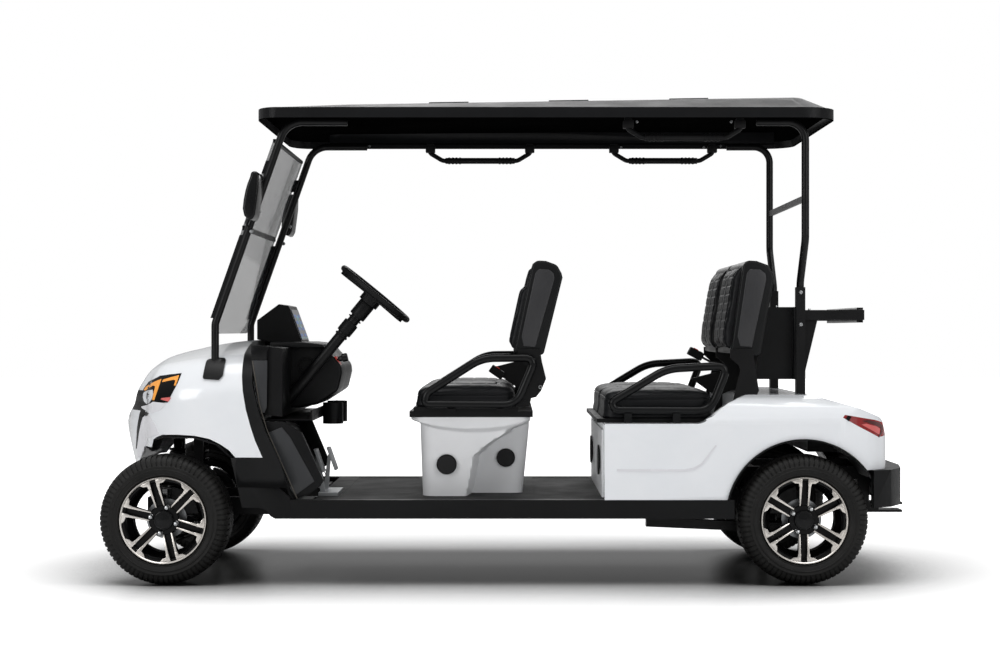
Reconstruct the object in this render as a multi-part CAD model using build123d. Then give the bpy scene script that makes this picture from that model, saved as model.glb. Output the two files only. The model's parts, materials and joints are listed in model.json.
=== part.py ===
"""Four-seat golf cart with a fixed roof, two forward-facing seat rows and a bag rack.

Millimetres. +Z up, the front points to -X, the driver sits on the -Y side.
The origin is on the ground, midway between the nose of the fascia and the end of the tow hitch.
"""
from build123d import *
from math import atan2, cos, degrees, hypot, pi, radians, sin, sqrt, tan
import os

# ---------------------------------------------------------------- driving dimensions
# wheels and axles
wheelbase = 2483
front_axle_x = -1360
rear_axle_x = front_axle_x + wheelbase
tyre_od = 505
tyre_width = 208
rim_seat_d = 305
rim_flange_d = 340
rim_wall = 7
wheel_centre_y = 512
axle_z = tyre_od / 2
spoke_pairs = 6
hub_bolt_circle = 101.6
lug_hole_d = 13
brake_disc_d = 226
brake_disc_t = 9
kingpin_y = 425
steer_limit = 28
steer_arm = 105
steer_arm_drop = 20
tie_rod_d = 16
rack_d = 24
run_gap = 6
bearing_gap = 0.05
spindle_d = 38
kingpin_d = 16

# ladder frame
rail_inner_y = 200
rail_w = 40
rail_z0 = 241
rail_h = 70
rail_kick_z = 385
rail_rear_h = 50
frame_front_x = -1490
frame_rear_x = 1480
outer_frame_y = 545

# floor and sills
floor_t = 20
floor_z = rail_z0 + rail_h + floor_t
floor_front_x = -780
sill_y0 = outer_frame_y
sill_y1 = 590
sill_z0 = 258
sill_front_x = -928
sill_rear_x = 853

# front body
body_w = sill_y1
cowl_rear_x = -1059
nose_x = -1618
wall = 8
frame_wall = 26
display_half_w = 140

# rear body
base_front_x = 350
base_top_z = 626
base_bottom_z = floor_z
deck_z = 735
body_rear_x = 1495
bumper_top_z = 445

# roof and its posts
post_d = 30
post_y = 500
front_post_foot_x = -1174
front_post_bend_z = 1015
front_post_top_x = -895
rail_line_z = 1806
rear_post_x = 1142
rear_post_low_y = 370
rear_bracket = 36
rear_bracket_z1 = 1161
roof_front_x = -1057
roof_rear_x = 1253
roof_w = 620
roof_lip_z0 = 1811
roof_lip_h = 40
roof_t = 9
roof_slope = radians(0.9)
roof_top_x = 221
roof_top_z = 1901
roof_pad_h = 9

# seats
seat_half_w = 480
seat_gap = 40
cushion_t = 92
back_len = 362
back_t = 118
back_lean = 14

# steering
column_y = -280
wheel_ring_d = 350
wheel_ring_t = 25
wheel_hub_x = -561
wheel_hub_z = 1136
column_lean = 39.5
column_d = 46

hitch_x = -nose_x

# axle parts
axle_tube_d = 72


# ---------------------------------------------------------------- small helpers
def block(x0, x1, y0, y1, z0, z1):
    """A box between two corners."""
    return Pos((x0 + x1) / 2, (y0 + y1) / 2, (z0 + z1) / 2) * Box(x1 - x0, y1 - y0, z1 - z0)


def outline(points, radii=0):
    """A closed face with rounded corners, from 2-D points."""
    if radii == 0:
        return make_face(Polyline(*points, close=True))
    return make_face(FilletPolyline(*points, radius=radii, close=True))


def side_plate(points, y0, y1, radii=0):
    """An X-Z outline, as thick as from y0 to y1."""
    face = Plane.XZ.offset(-y1) * outline(points, radii)
    return extrude(face, amount=y1 - y0)


def front_plate(points, x0, x1, radii=0):
    """A Y-Z outline, as thick as from x0 to x1."""
    face = Plane.YZ.offset(x0) * outline(points, radii)
    return extrude(face, amount=x1 - x0)


def plan_plate(points, z0, z1, radii=0):
    """An X-Y outline, as thick as from z0 to z1."""
    face = Plane.XY.offset(z0) * outline(points, radii)
    return extrude(face, amount=z1 - z0)


def tube(points, diameter, radii):
    """A round bar along straight runs joined by arcs."""
    path = FilletPolyline(*points, radius=radii) if len(points) > 2 else Line(*points)
    start = Plane(origin=path @ 0, z_dir=path % 0)
    return sweep(start * Circle(diameter / 2), path=path)


def rod(start, end, diameter):
    """A round bar between two points."""
    run = Vector(end) - Vector(start)
    base = Plane(origin=start, z_dir=run)
    return base * extrude(Circle(diameter / 2), amount=run.length)


def disc(x, y0, y1, z, diameter):
    """A round disc on an axis across the cart."""
    return rod((x, y0, z), (x, y1, z), diameter)


def other_side(shape):
    """The same shape on the other side of the cart."""
    return mirror(shape, about=Plane.XZ)


def both(shape):
    return [shape, other_side(shape)]


def save(name, *shapes):
    solids = []
    for shape in shapes:
        for piece in shape if isinstance(shape, (list, tuple)) else [shape]:
            solids.extend(piece.solids())
    export_step(Compound(children=solids), os.path.join("parts", name + ".step"))


os.makedirs("parts", exist_ok=True)


# ---------------------------------------------------------------- wheels
def make_tyre():
    """Tyre about the Y axis, outer face towards -Y."""
    r, half, seat = tyre_od / 2, tyre_width / 2, rim_seat_d / 2
    crown, lip = 5, rim_flange_d / 2 + 1
    profile = [
        (seat, -half + 20),
        (lip, -half + 14),
        (lip + 5, -half + 6),
        (r * 0.80, -half),
        (r - 22, -half + 6),
        (r - crown, -half + 26),
        (r, -half * 0.45),
        (r, half * 0.45),
        (r - crown, half - 26),
        (r - 22, half - 6),
        (r * 0.80, half),
        (lip + 5, half - 6),
        (lip, half - 14),
        (seat, half - 20),
    ]
    corner = [0, 0, 0, 30, 14, 14, 0, 0, 14, 14, 30, 0, 0, 0]
    face = make_face(FilletPolyline(*profile, radius=corner, close=True))
    return revolve(face, axis=Axis.Y)


def make_rim():
    """Alloy rim about the Y axis: barrel, flanges, double spokes with a pocket, hub and cap."""
    half = tyre_width / 2
    seat, flange = rim_seat_d / 2, rim_flange_d / 2
    edge = half - 18
    drop = 16
    barrel = [
        (flange, -edge + 0.3 - 12),
        (flange, -edge + 0.3 - 6),
        (seat - 0.3, -edge + 0.3),
        (seat - 0.3, -edge + 40),
        (seat - drop, -edge + 55),
        (seat - drop, edge - 45),
        (seat - 0.3, edge - 30),
        (seat - 0.3, edge - 0.3),
        (flange, edge + 5.7),
        (flange, edge + 11.7),
        (seat - rim_wall, edge + 11.7),
        (seat - rim_wall, edge - 32),
        (seat - drop - rim_wall, edge - 50),
        (seat - drop - rim_wall, -edge + 60),
        (seat - rim_wall, -edge + 42),
        (seat - rim_wall, -edge - 11.7),
    ]
    rim = revolve(make_face(Polyline(*barrel, close=True)), axis=Axis.Y)
    tip = seat - rim_wall + 1
    face_y, web_y, back_y = -edge + 2, -edge + 14, -edge + 30
    # one spoke pair: a wedge web behind, and two ribs that spread towards the rim
    web = [(30, -10), (tip, -27), (tip, 27), (30, 10)]
    rib = [(30, 4), (112, 14), (tip, 15), (tip, 42), (tip - 8, 42), (118, 27), (30, 13)]
    web_plane = Plane(origin=(0, web_y, 0), x_dir=(1, 0, 0), z_dir=(0, -1, 0))
    back_plane = Plane(origin=(0, back_y, 0), x_dir=(1, 0, 0), z_dir=(0, -1, 0))
    web_face = back_plane * make_face(Polyline(*web, close=True))
    rib_face = back_plane * make_face(Polyline(*rib, close=True))
    low_face = back_plane * make_face(Polyline(*[(a, -b) for a, b in rib], close=True))
    spoke = extrude(web_face, amount=back_y - web_y)
    spoke += extrude(rib_face, amount=back_y - face_y)
    spoke += extrude(low_face, amount=back_y - face_y)
    for i in range(spoke_pairs):
        rim += Rot(0, i * 360 / spoke_pairs, 0) * spoke
    rim += disc(0, face_y + 4, hub_back_y, 0, 2 * hub_flange_r)
    rim += disc(0, face_y - 12, face_y + 4, 0, 82)
    lug = disc(0, face_y - 6, face_y + 4, hub_bolt_circle / 2, 19)
    for i in range(4):
        rim += Rot(0, 45 + i * 90, 0) * lug
    return rim


hub_flange_r = 64
hub_back_y = -30
disc_y = 6


def make_hub():
    """Hub and brake disc that turn with the wheel, about the Y axis."""
    hub = disc(0, hub_back_y, hub_back_y + 12, 0, 2 * hub_flange_r)
    hub += disc(0, hub_back_y + 12, disc_y + brake_disc_t, 0, 96)
    hub += disc(0, disc_y, disc_y + brake_disc_t, 0, brake_disc_d)
    hub -= disc(0, disc_y - 30, disc_y + brake_disc_t + 1, 0, spindle_d + 2 * bearing_gap)
    return hub


tyre, rim = make_tyre(), make_rim() + make_hub()
corners = {
    "front_left": Pos(front_axle_x, -wheel_centre_y, axle_z),
    "front_right": Pos(front_axle_x, wheel_centre_y, axle_z),
    "rear_left": Pos(rear_axle_x, -wheel_centre_y, axle_z),
    "rear_right": Pos(rear_axle_x, wheel_centre_y, axle_z),
}
for corner_name, place in corners.items():
    side = other_side if corner_name.endswith("right") else (lambda shape: shape)
    save(corner_name + "_tyre", place * side(tyre))
    save(corner_name + "_rim", place * side(rim))

# ---------------------------------------------------------------- knuckles, arms and steering rack
spindle_y = -wheel_centre_y + disc_y - 10
knuckle_in_y = -kingpin_y + 18
ball_z = 88
caliper_y = -wheel_centre_y + disc_y


def make_knuckle():
    """Left knuckle: upright, spindle, steering arm and brake caliper."""
    x, z = front_axle_x, axle_z
    upright = block(x - 16, x + 16, -kingpin_y - 16, knuckle_in_y, z - ball_z + 8, z + ball_z - 8)
    upright = fillet(upright.edges().filter_by(Axis.Z), 10)
    spindle = disc(x, -kingpin_y, spindle_y, z, spindle_d)
    kingpin = rod((x, -kingpin_y, z - ball_z - 18), (x, -kingpin_y, z + ball_z + 18), kingpin_d)
    hub_seat = disc(x, -kingpin_y, caliper_y + brake_disc_t + run_gap, z, 78)
    arm_z0, arm_z1 = z - steer_arm_drop, z - steer_arm_drop + 16
    arm = block(x, x + steer_arm, -kingpin_y - 12, -kingpin_y + 12, arm_z0, arm_z1)
    arm += rod((x + steer_arm, -kingpin_y, arm_z0), (x + steer_arm, -kingpin_y, arm_z1), 30)
    r0, r1 = brake_disc_d / 2 - 34, brake_disc_d / 2 + 12
    y0, y1 = caliper_y - 16, caliper_y + brake_disc_t + 20
    caliper = disc(x, y0, y1, z, 2 * r1) - disc(x, y0, y1, z, 2 * r0)
    caliper &= block(x + 20, x + 200, y0, y1, z + 20, z + 200)
    slot = disc(x, caliper_y - 3, caliper_y + brake_disc_t + 3, z, brake_disc_d + 8)
    caliper -= slot
    stay = block(x + 10, x + 90, caliper_y + brake_disc_t + 6, caliper_y + brake_disc_t + 20, z + 10, z + 60)
    return upright + spindle + kingpin + hub_seat + arm + caliper + stay


knuckle = make_knuckle()
save("front_left_knuckle", knuckle)
save("front_right_knuckle", other_side(knuckle))

arm_in_y = -(rail_inner_y + rail_w) - 14
arm_spread = 74
arm_bar = 24


def control_arm(z_out, z_in):
    """One left A-arm: two bars from a ball joint to the frame, with a bushing at each inner end."""
    out = (front_axle_x, -kingpin_y, z_out)
    arm = None
    for sign in (-1, 1):
        inner = (front_axle_x + sign * arm_spread, arm_in_y, z_in)
        bar = rod(out, inner, arm_bar)
        eye = rod((inner[0] - 14, inner[1], z_in), (inner[0] + 14, inner[1], z_in), 28)
        arm = bar + eye if arm is None else arm + bar + eye
    arm += rod((out[0], out[1], z_out - 13), (out[0], out[1], z_out + 13), 36)
    return arm - rod((out[0], out[1], z_out - 20), (out[0], out[1], z_out + 20), kingpin_d + 2 * bearing_gap)


lower_arm = control_arm(axle_z - ball_z - 8, axle_z - ball_z + 10)
upper_arm = control_arm(axle_z + ball_z + 8, axle_z + ball_z - 10)
shock_seat_z = 172
lower_arm += block(front_axle_x - 42, front_axle_x + 42, -372, -318, shock_seat_z - 12, shock_seat_z)
save("front_control_arms", both(lower_arm), both(upper_arm))
tower_z = 556


def coil_over(low, top, spring_d, wire, turns, body_d):
    """Damper with a coil spring drawn as stacked rings, and a flat seat at each end."""
    axis = Vector(top) - Vector(low)
    frame = Plane(origin=low, z_dir=axis)
    length = axis.length
    damper = frame * extrude(Circle(body_d / 2), amount=length)
    damper += rod((low[0], low[1], low[2] - 8), (low[0], low[1], low[2] + 10), 22)
    damper += rod((top[0], top[1], top[2] - 10), (top[0], top[1], top[2] + 8), 22)
    lower_cup = frame * Pos(0, 0, 0.24 * length) * extrude(Circle(spring_d / 2), amount=8)
    upper_cup = frame * Pos(0, 0, 0.88 * length) * extrude(Circle(spring_d / 2), amount=8)
    coil = damper + lower_cup + upper_cup
    pitch = 0.64 * length / turns
    for i in range(turns):
        ring = Torus((spring_d - wire) / 2, wire / 2)
        coil += frame * Pos(0, 0, 0.24 * length + 8 + (i + 0.5) * pitch) * ring
        coil += frame * Pos(0, 0, 0.24 * length + 8 + (i + 0.5) * pitch - 0.3 * wire) * extrude(
            Circle((spring_d - wire) / 2), amount=0.6 * wire)
    return coil


front_shock = coil_over((front_axle_x, -345, shock_seat_z + 8), (front_axle_x, -275, tower_z - 8), 66, 10, 7, 34)
trailing_z = axle_z - axle_tube_d / 2
rear_shock_x = rear_axle_x - 85
rear_shock_top = rail_kick_z + 30
rear_shock = coil_over((rear_shock_x, -305, trailing_z + 8), (rear_shock_x, -305, rear_shock_top - 8), 66, 10, 4, 34)
save("coil_over_shocks", both(front_shock), both(rear_shock))

# rack housing on the frame, and the sliding rack with its tie rods
rack_x = front_axle_x + steer_arm
rack_z = axle_z - steer_arm_drop - 14
rack_half = 190
rack_case = disc(rack_x, -rack_half, rack_half, rack_z, 52)
rack_case -= disc(rack_x, -rack_half, rack_half, rack_z, rack_d + 2 * bearing_gap)
save("steering_rack_housing", rack_case)
rack_reach = rack_half + 58
tie_rod = disc(rack_x, -rack_reach, rack_reach, rack_z, rack_d)
for sign in (-1, 1):
    tie_rod += disc(rack_x, sign * rack_reach, sign * (kingpin_y - 12), rack_z, tie_rod_d)
    tie_rod += rod((rack_x, sign * kingpin_y, rack_z - 12), (rack_x, sign * kingpin_y, rack_z + 13.5), 28)
save("steering_rack_and_tie_rods", tie_rod)

# ---------------------------------------------------------------- rear axle and its carriers
axle_end_y = -wheel_centre_y + disc_y + brake_disc_t + run_gap
rear_axle = disc(rear_axle_x, axle_end_y, -axle_end_y, axle_z, axle_tube_d)
rear_axle += Pos(rear_axle_x, 0, axle_z) * Sphere(92)
rear_axle += disc(rear_axle_x, spindle_y, -spindle_y, axle_z, spindle_d)
for sign in (-1, 1):
    r0, r1 = brake_disc_d / 2 - 34, brake_disc_d / 2 + 12
    cal_y = sign * (wheel_centre_y - disc_y)
    y0, y1 = cal_y + sign * 16, cal_y - sign * (brake_disc_t + 20)
    caliper = disc(rear_axle_x, y0, y1, axle_z, 2 * r1) - disc(rear_axle_x, y0, y1, axle_z, 2 * r0)
    caliper &= block(rear_axle_x - 200, rear_axle_x - 20, min(y0, y1), max(y0, y1), axle_z + 20, axle_z + 200)
    caliper -= disc(rear_axle_x, cal_y + sign * 3, cal_y - sign * (brake_disc_t + 3), axle_z, brake_disc_d + 8)
    stay_y = cal_y - sign * (brake_disc_t + 6)
    stay_in = cal_y - sign * (brake_disc_t + 20)
    rear_axle += caliper
    rear_axle += block(rear_axle_x - 90, rear_axle_x, min(stay_y, stay_in), max(stay_y, stay_in), axle_z, axle_z + 60)
save("rear_axle", rear_axle)
save("drive_motor", disc(rear_axle_x - 92 - 84, -95, 95, axle_z, 168))
arm_pivot_x = 555
trailing_arm = side_plate(
    [(arm_pivot_x - 25, 200), (arm_pivot_x - 25, 236), (arm_pivot_x + 25, 236), (960, trailing_z),
     (rear_axle_x + 70, trailing_z), (rear_axle_x + 70, trailing_z - 30), (rear_axle_x - 60, trailing_z - 40)],
    -330, -280)
save("rear_trailing_arms", both(trailing_arm))

# ---------------------------------------------------------------- ladder frame
rail = side_plate(
    [(frame_front_x, rail_z0), (830, rail_z0), (930, rail_kick_z), (frame_rear_x, rail_kick_z),
     (frame_rear_x, rail_kick_z + rail_rear_h), (905, rail_kick_z + rail_rear_h),
     (800, rail_z0 + rail_h), (frame_front_x, rail_z0 + rail_h)],
    -rail_inner_y - rail_w, -rail_inner_y)
cross_w = 50
crosses = []
for x in (frame_front_x, rack_x - cross_w / 2, -1050, -700, -150, 350, 720):
    crosses.append(block(x, x + cross_w, -rail_inner_y, rail_inner_y, rail_z0 + 10, rail_z0 + rail_h))
for x in (930, frame_rear_x - cross_w):
    crosses.append(block(x, x + cross_w, -rail_inner_y, rail_inner_y, rail_kick_z, rail_kick_z + rail_rear_h))
outriggers = []
for x in (-860, -500, -150, 200, arm_pivot_x - cross_w / 2, 745):
    outriggers += both(block(x, x + cross_w, -outer_frame_y, -rail_inner_y - rail_w, rail_z0 + 30, rail_z0 + rail_h))
brackets = both(block(arm_pivot_x - 20, arm_pivot_x + 20, -325, -285, 236, rail_z0 + 30))
rail_out = -rail_inner_y - rail_w
for sign in (-1, 1):
    x = front_axle_x + sign * arm_spread
    brackets += both(block(x - 14, x + 14, rail_out, rail_out + 36, axle_z - ball_z - 6, rail_z0))
    brackets += both(block(x - 14, x + 14, rail_out, rail_out + 36, rail_z0 + rail_h, axle_z + ball_z + 6))
    brackets.append(block(rack_x - 15, rack_x + 15, sign * 130 - 15, sign * 130 + 15, rack_z + 20, rail_z0 + 10) - rack_case)
tower = block(front_axle_x - 20, front_axle_x + 20, rail_out + 5, rail_out + 25, rail_z0 + rail_h, tower_z)
tower += block(front_axle_x - 20, front_axle_x + 20, -305, rail_out + 25, tower_z, tower_z + 10)
shelf = block(rear_shock_x - 20, rear_shock_x + 20, -330, rail_out, rear_shock_top, rear_shock_top + 12)
brackets += both(tower) + both(shelf)
save("main_rails", both(rail))
save("chassis_frame", crosses, outriggers, brackets)

# ---------------------------------------------------------------- front body
cowl_profile = [
    (nose_x + 25, 380), (nose_x + 25, 457), (nose_x + 9, 541), (nose_x, 620), (-1596, 672), (-1569, 749),
    (-1520, 814), (-1440, 864), (-1340, 899), (-1220, 928), (-1120, 944), (-1040, 950), (-700, 950), (-700, 380),
]
cowl_profile_radii = [0, 60, 300, 14, 60, 200, 260, 400, 700, 900, 900, 900, 0, 0]
# x, half width, crown height of each cross-section from the dash to the nose
cowl_stations = [
    (-700, body_w, 952), (-1060, body_w, 952), (-1220, body_w - 4, 936), (-1345, 552, 912),
    (-1455, 468, 884), (-1545, 345, 850), (nose_x - 4, 150, 800),
]
crown_share, crown_drop, shoulder_drop = 0.77, 0.088, 0.377


def cowl_section(x, half_w, crown):
    """One cross-section of the front body: walls, two shoulder arcs and a shallow crown."""
    y1, z1, z2 = crown_share * half_w, crown - crown_drop * half_w, crown - shoulder_drop * half_w
    crown_arc = ThreePointArc((-y1, z1), (0, crown), (y1, z1))
    bend = RadiusArc((y1, z1), (half_w, z2), shoulder_radius * half_w)
    other_bend = RadiusArc((-half_w, z2), (-y1, z1), shoulder_radius * half_w)
    walls = Polyline((half_w, z2), (half_w, 380), (-half_w, 380), (-half_w, z2))
    return Plane.YZ.offset(x) * make_face(crown_arc + bend + walls + other_bend)


# a shoulder arc that leaves the crown at its own slope and ends upright
crown_slope = 2 * atan2(crown_drop, crown_share)
shoulder_radius = hypot(1 - crown_share, shoulder_drop - crown_drop) / (2 * sin((pi / 2 - crown_slope) / 2))


def front_form(inset):
    """The front body as a solid, each face moved inwards by inset."""
    side = outline(cowl_profile, cowl_profile_radii)
    if inset:
        side = offset(side, -inset)
    sections = [cowl_section(x, half_w - inset, crown - inset) for x, half_w, crown in cowl_stations]
    return loft(sections) & extrude(Plane.XZ.offset(-700) * side, amount=1400)


cowl_rear_edge = [(-1069, 960), (-1066, 922), (-1061, 871), (-1059, 812), (-1053, 753), (-1041, 681),
                  (-1023, 616), (-1005, 562), (-975, 496)]
front_arch = [(-1082, 496), (-1106, 524), (-1142, 548), (-1183, 568), (-1243, 580), (-1314, 583),
              (-1375, 581), (-1400, 571), (-1418, 560), (-1426, 534), (-1431, 503)]
cowl_area = cowl_rear_edge + front_arch + [(-1440, 457), (-1700, 457), (-1700, 1000), (-1069, 1000)]
frame_area = [(-1069, 960), (-1066, 922), (-1061, 871), (-1059, 812), (-1053, 753), (-1041, 681),
              (-1023, 616), (-1005, 562), (-975, 496), (-1095, 493), (-1056, 300), (-960, 300),
              (sill_front_x, sill_z0), (-870, sill_z0), (-870, floor_z + 40), (-904, 479),
              (-964, 598), (-993, 681), (-1017, 782), (-1020, 853), (-1025, 922), (-1028, 960)]
front_solid, front_inner, frame_inner = front_form(0), front_form(wall), front_form(frame_wall)
front_shell = front_solid - front_inner
tyre_room = [(700, 530), (400, 530), (270, 440), (700, 440)]
cowl_shell = front_shell & side_plate(cowl_area, -700, 700)
for sign in (-1, 1):
    cowl_shell -= front_plate([(sign * y, z) for y, z in tyre_room], -1700, -1380)
nose_area = [(-1700, 668), (-1472, 668), (-1480, 749), (-1700, 749)]
slash_area = [(-1497, 668), (-1465, 649), (-1489, 642), (-1502, 600), (-1516, 505), (-1524, 505), (-1516, 580),
              (-1504, 640)]
lamp_area = [(-1475, 771), (-1397, 810), (-1301, 822), (-1320, 785), (-1353, 726), (-1366, 705), (-1428, 708),
             (-1472, 691), (-1478, 722)]
nose_cut = side_plate(nose_area, -460, 460) + side_plate(slash_area, -480, 480)
lamp_cuts = [side_plate(lamp_area, -700, -385), side_plate(lamp_area, 385, 700)]
save("nose_trim", (cowl_shell & nose_cut) - lamp_cuts)
headlamps = [cowl_shell & cut for cut in lamp_cuts]
save("headlamps", headlamps)
for cut in [nose_cut] + lamp_cuts:
    cowl_shell -= cut
save("front_cowl", cowl_shell)
side_shell = (front_solid & side_plate(frame_area, -700, 700)) - frame_inner
side_shell -= block(-1080, -1000, -display_half_w, display_half_w, 880, 1000)
for sign in (-1, 1):
    sill_run = block(-870, sill_rear_x, min(sign * sill_y0, sign * sill_y1), max(sign * sill_y0, sign * sill_y1),
                     sill_z0, floor_z)
    side_shell += sill_run
save("side_frames_and_sills", side_shell)

# ---------------------------------------------------------------- dash, display and toe board
dash_half_w = body_w - frame_wall
dash_side = [(-1040, 925), (-790, 918), (-735, 880), (-710, 820), (-740, 740), (-812, 690), (-985, 690), (-1010, 760)]
dash = side_plate(dash_side, -dash_half_w, dash_half_w, 12) & frame_inner
dash_hollow = offset(outline(dash_side), -10, kind=Kind.INTERSECTION)
dash -= extrude(Plane.XZ.offset(-430) * dash_hollow, amount=860)
display_side = [(-1059, 951), (-1059, 1030), (-969, 1097), (-928, 1089), (-868, 925), (-900, 919)]
display = side_plate(display_side, -display_half_w, display_half_w)
save("instrument_display", display)
tray_z = 640
tray = block(-1014, -790, -530, 530, tray_z - 6, tray_z)
tray += block(-796, -790, -530, 530, tray_z, tray_z + 36)
for y in (-95, 95):
    tray += rod((-750, y, 603), (-750, y, 690), 84)
    tray -= rod((-750, y, 611), (-750, y, 701), 74)
save("dash_tray_and_cup_holders", tray)
toe_side = [(-1014, 634), (-1008, 634), (-886, 557), (-802, 395), (floor_front_x, floor_z), (floor_front_x, floor_z - floor_t),
            (floor_front_x - 14, floor_z - floor_t), (-814, 388), (-896, 548), (-1014, 624)]
toe = side_plate(toe_side, -dash_half_w, dash_half_w) - both(block(-870, -700, -700, -sill_y0, 200, floor_z))[0]
toe -= block(-870, -700, sill_y0, 700, 200, floor_z)
save("toe_board", toe)

# ---------------------------------------------------------------- floor and front seat base
mat_depth = 2
deck = block(floor_front_x, 790, -sill_y0, sill_y0, floor_z - floor_t, floor_z)
for x0, x1 in ((-690, -422), (82, base_front_x - 16)):
    deck -= block(x0, x1, -sill_y0 + 40, sill_y0 - 40, floor_z - mat_depth, floor_z + 1)
save("floor_deck", deck)
pod_x0, pod_x1 = -407, 65
pod_top = 647
pod_foot = Plane.XY.offset(floor_z) * Pos(-165, 0) * RectangleRounded(416, 760, 50)
pod_rim = Plane.XY.offset(pod_top - 50) * Pos(-168, 0) * RectangleRounded(452, 860, 60)
pod_head = Plane.XY.offset(pod_top) * Pos(-171, 0) * RectangleRounded(472, 960, 50)
pod_foot_in = Plane.XY.offset(floor_z) * Pos(-165, 0) * RectangleRounded(400, 744, 42)
pod_rim_in = Plane.XY.offset(pod_top - 50) * Pos(-168, 0) * RectangleRounded(436, 844, 52)
pod_head_in = Plane.XY.offset(pod_top) * Pos(-171, 0) * RectangleRounded(456, 944, 42)
pod = loft([pod_foot, pod_rim]) + loft([pod_rim, pod_head])
pod -= loft([pod_foot_in, pod_rim_in]) + loft([pod_rim_in, pod_head_in])
save("front_seat_pod", pod)
save("battery_pack", block(-340, 10, -260, 260, floor_z, 560))
speaker_y = -372
pod_lean = 50 / (pod_top - 50 - floor_z)
speakers = []
for x, z, d in ((-269, 454, 78), (-34, 473, 74)):
    y = -380 - (z - floor_z) * pod_lean
    speakers += both(rod((x, y, z), (x, y - 6, z - 6 * pod_lean), d))
for y in (-330, 330):
    speakers += [rod((base_front_x - 12, y, 470), (base_front_x - 6, y, 470), 120)]
save("speaker_grilles", speakers)

# ---------------------------------------------------------------- seats
cushions, backs, brackets = [], [], []


def seat_row(x0, x1, base_z, back):
    """Two cushions, two backs and their side brackets for one row."""
    cushion = block(x0, x1, -seat_half_w - 8, -seat_gap / 2, base_z, base_z + cushion_t)
    cushion = fillet(cushion.edges().filter_by(Axis.Z), 40)
    cushion = fillet(cushion.edges().group_by(Axis.Z)[-1], 22)
    cushions.extend(both(cushion))
    low_front, low_rear, top_rear, top, top_front = back
    rest = side_plate([low_front, low_rear, top_rear, top, top_front], -seat_half_w - 8, -20, 22)
    backs.extend(both(rest))
    leg = [(x1 - 90, base_z), (x1, base_z), (low_rear[0], low_rear[1] + 50), (low_front[0] + 20, low_front[1] + 60)]
    for y0, y1 in ((-seat_half_w - 16, -seat_half_w - 8), (-20, -12)):
        brackets.extend(both(side_plate(leg, y0, y1)))


seat_row(-396, 14, 687, [(-17, 899), (112, 886), (191, 1215), (120, 1268), (66, 1236)])
seat_row(324, 789, 642, [(837, 899), (958, 887), (1013, 1215), (955, 1268), (893, 1236)])
save("seat_cushions", cushions)
save("seat_backs", backs)
save("seat_back_brackets", brackets)

arm_d = 28
front_arm = [(-336, 695), (1, 695), (81, 884), (-130, 879), (-375, 714)]
rear_arm = [(373, 667), (750, 661), (834, 836), (672, 849), (568, 826)]


def armrest(points, y):
    """A closed loop of tube seen from the side."""
    path = FilletPolyline(*[(x, y, z) for x, z in points], radius=[14, 30, 45, 60, 12], close=True)
    start = Plane(origin=path @ 0, z_dir=path % 0)
    return sweep(start * Circle(arm_d / 2), path=path)


arm_y = -seat_half_w - 34
arm_loops = [armrest(front_arm, arm_y), armrest(rear_arm, arm_y)]
save("armrests", both(arm_loops[0]), both(arm_loops[1]))
tabs = []
for x in (-262, -70):
    tabs += both(block(x, x + 30, arm_y, -seat_half_w - 10, 671, 687) - arm_loops[0])
for x in (430, 620):
    tabs += both(block(x, x + 30, arm_y - 14, arm_y + 14, base_top_z, 664) - arm_loops[1])
save("seat_trays", block(-413, 73, -seat_half_w, seat_half_w, 647, 671),
     block(-396, 14, -seat_half_w - 10, seat_half_w + 10, 671, 687),
     block(324, 789, -seat_half_w - 8, seat_half_w + 8, base_top_z, 642), tabs)

# ---------------------------------------------------------------- rear body
rear_profile = [
    (base_front_x, 250), (base_front_x, base_top_z), (729, base_top_z), (838, 706), (905, deck_z + 2),
    (1165, deck_z), (1340, 686), (1440, 645), (1476, 530), (body_rear_x, bumper_top_z), (body_rear_x + 3, 250),
]
rear_profile_radii = [0, 6, 60, 80, 70, 200, 150, 40, 200, 60, 0]
rear_plan_half = [(base_front_x, body_w), (1270, body_w), (1385, 570), (1462, 480), (body_rear_x, 250)]
rear_plan_radii = [0, 260, 140, 120, 700]
rear_plan = rear_plan_half + [(x, -y) for x, y in reversed(rear_plan_half)]
rear_section_half = [(body_w, 250), (body_w, 640), (572, 712), (505, 744)]
rear_section_radii = [0, 120, 50, 60]
rear_section = rear_section_half + [(-y, z) for y, z in reversed(rear_section_half)]


def rear_form(inset):
    """The rear body as a solid, each face moved inwards by inset."""
    side = outline(rear_profile, rear_profile_radii)
    plan = outline(rear_plan, rear_plan_radii + rear_plan_radii[::-1])
    section = outline(rear_section, rear_section_radii + rear_section_radii[::-1])
    if inset:
        side, plan, section = (offset(face, -inset, kind=Kind.INTERSECTION) for face in (side, plan, section))
    by_side = extrude(Plane.XZ.offset(-700) * side, amount=1400)
    by_plan = extrude(Plane.XY.offset(200) * plan, amount=800)
    by_section = extrude(Plane.YZ.offset(300) * section, amount=1300)
    return by_side & by_plan & by_section


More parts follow.
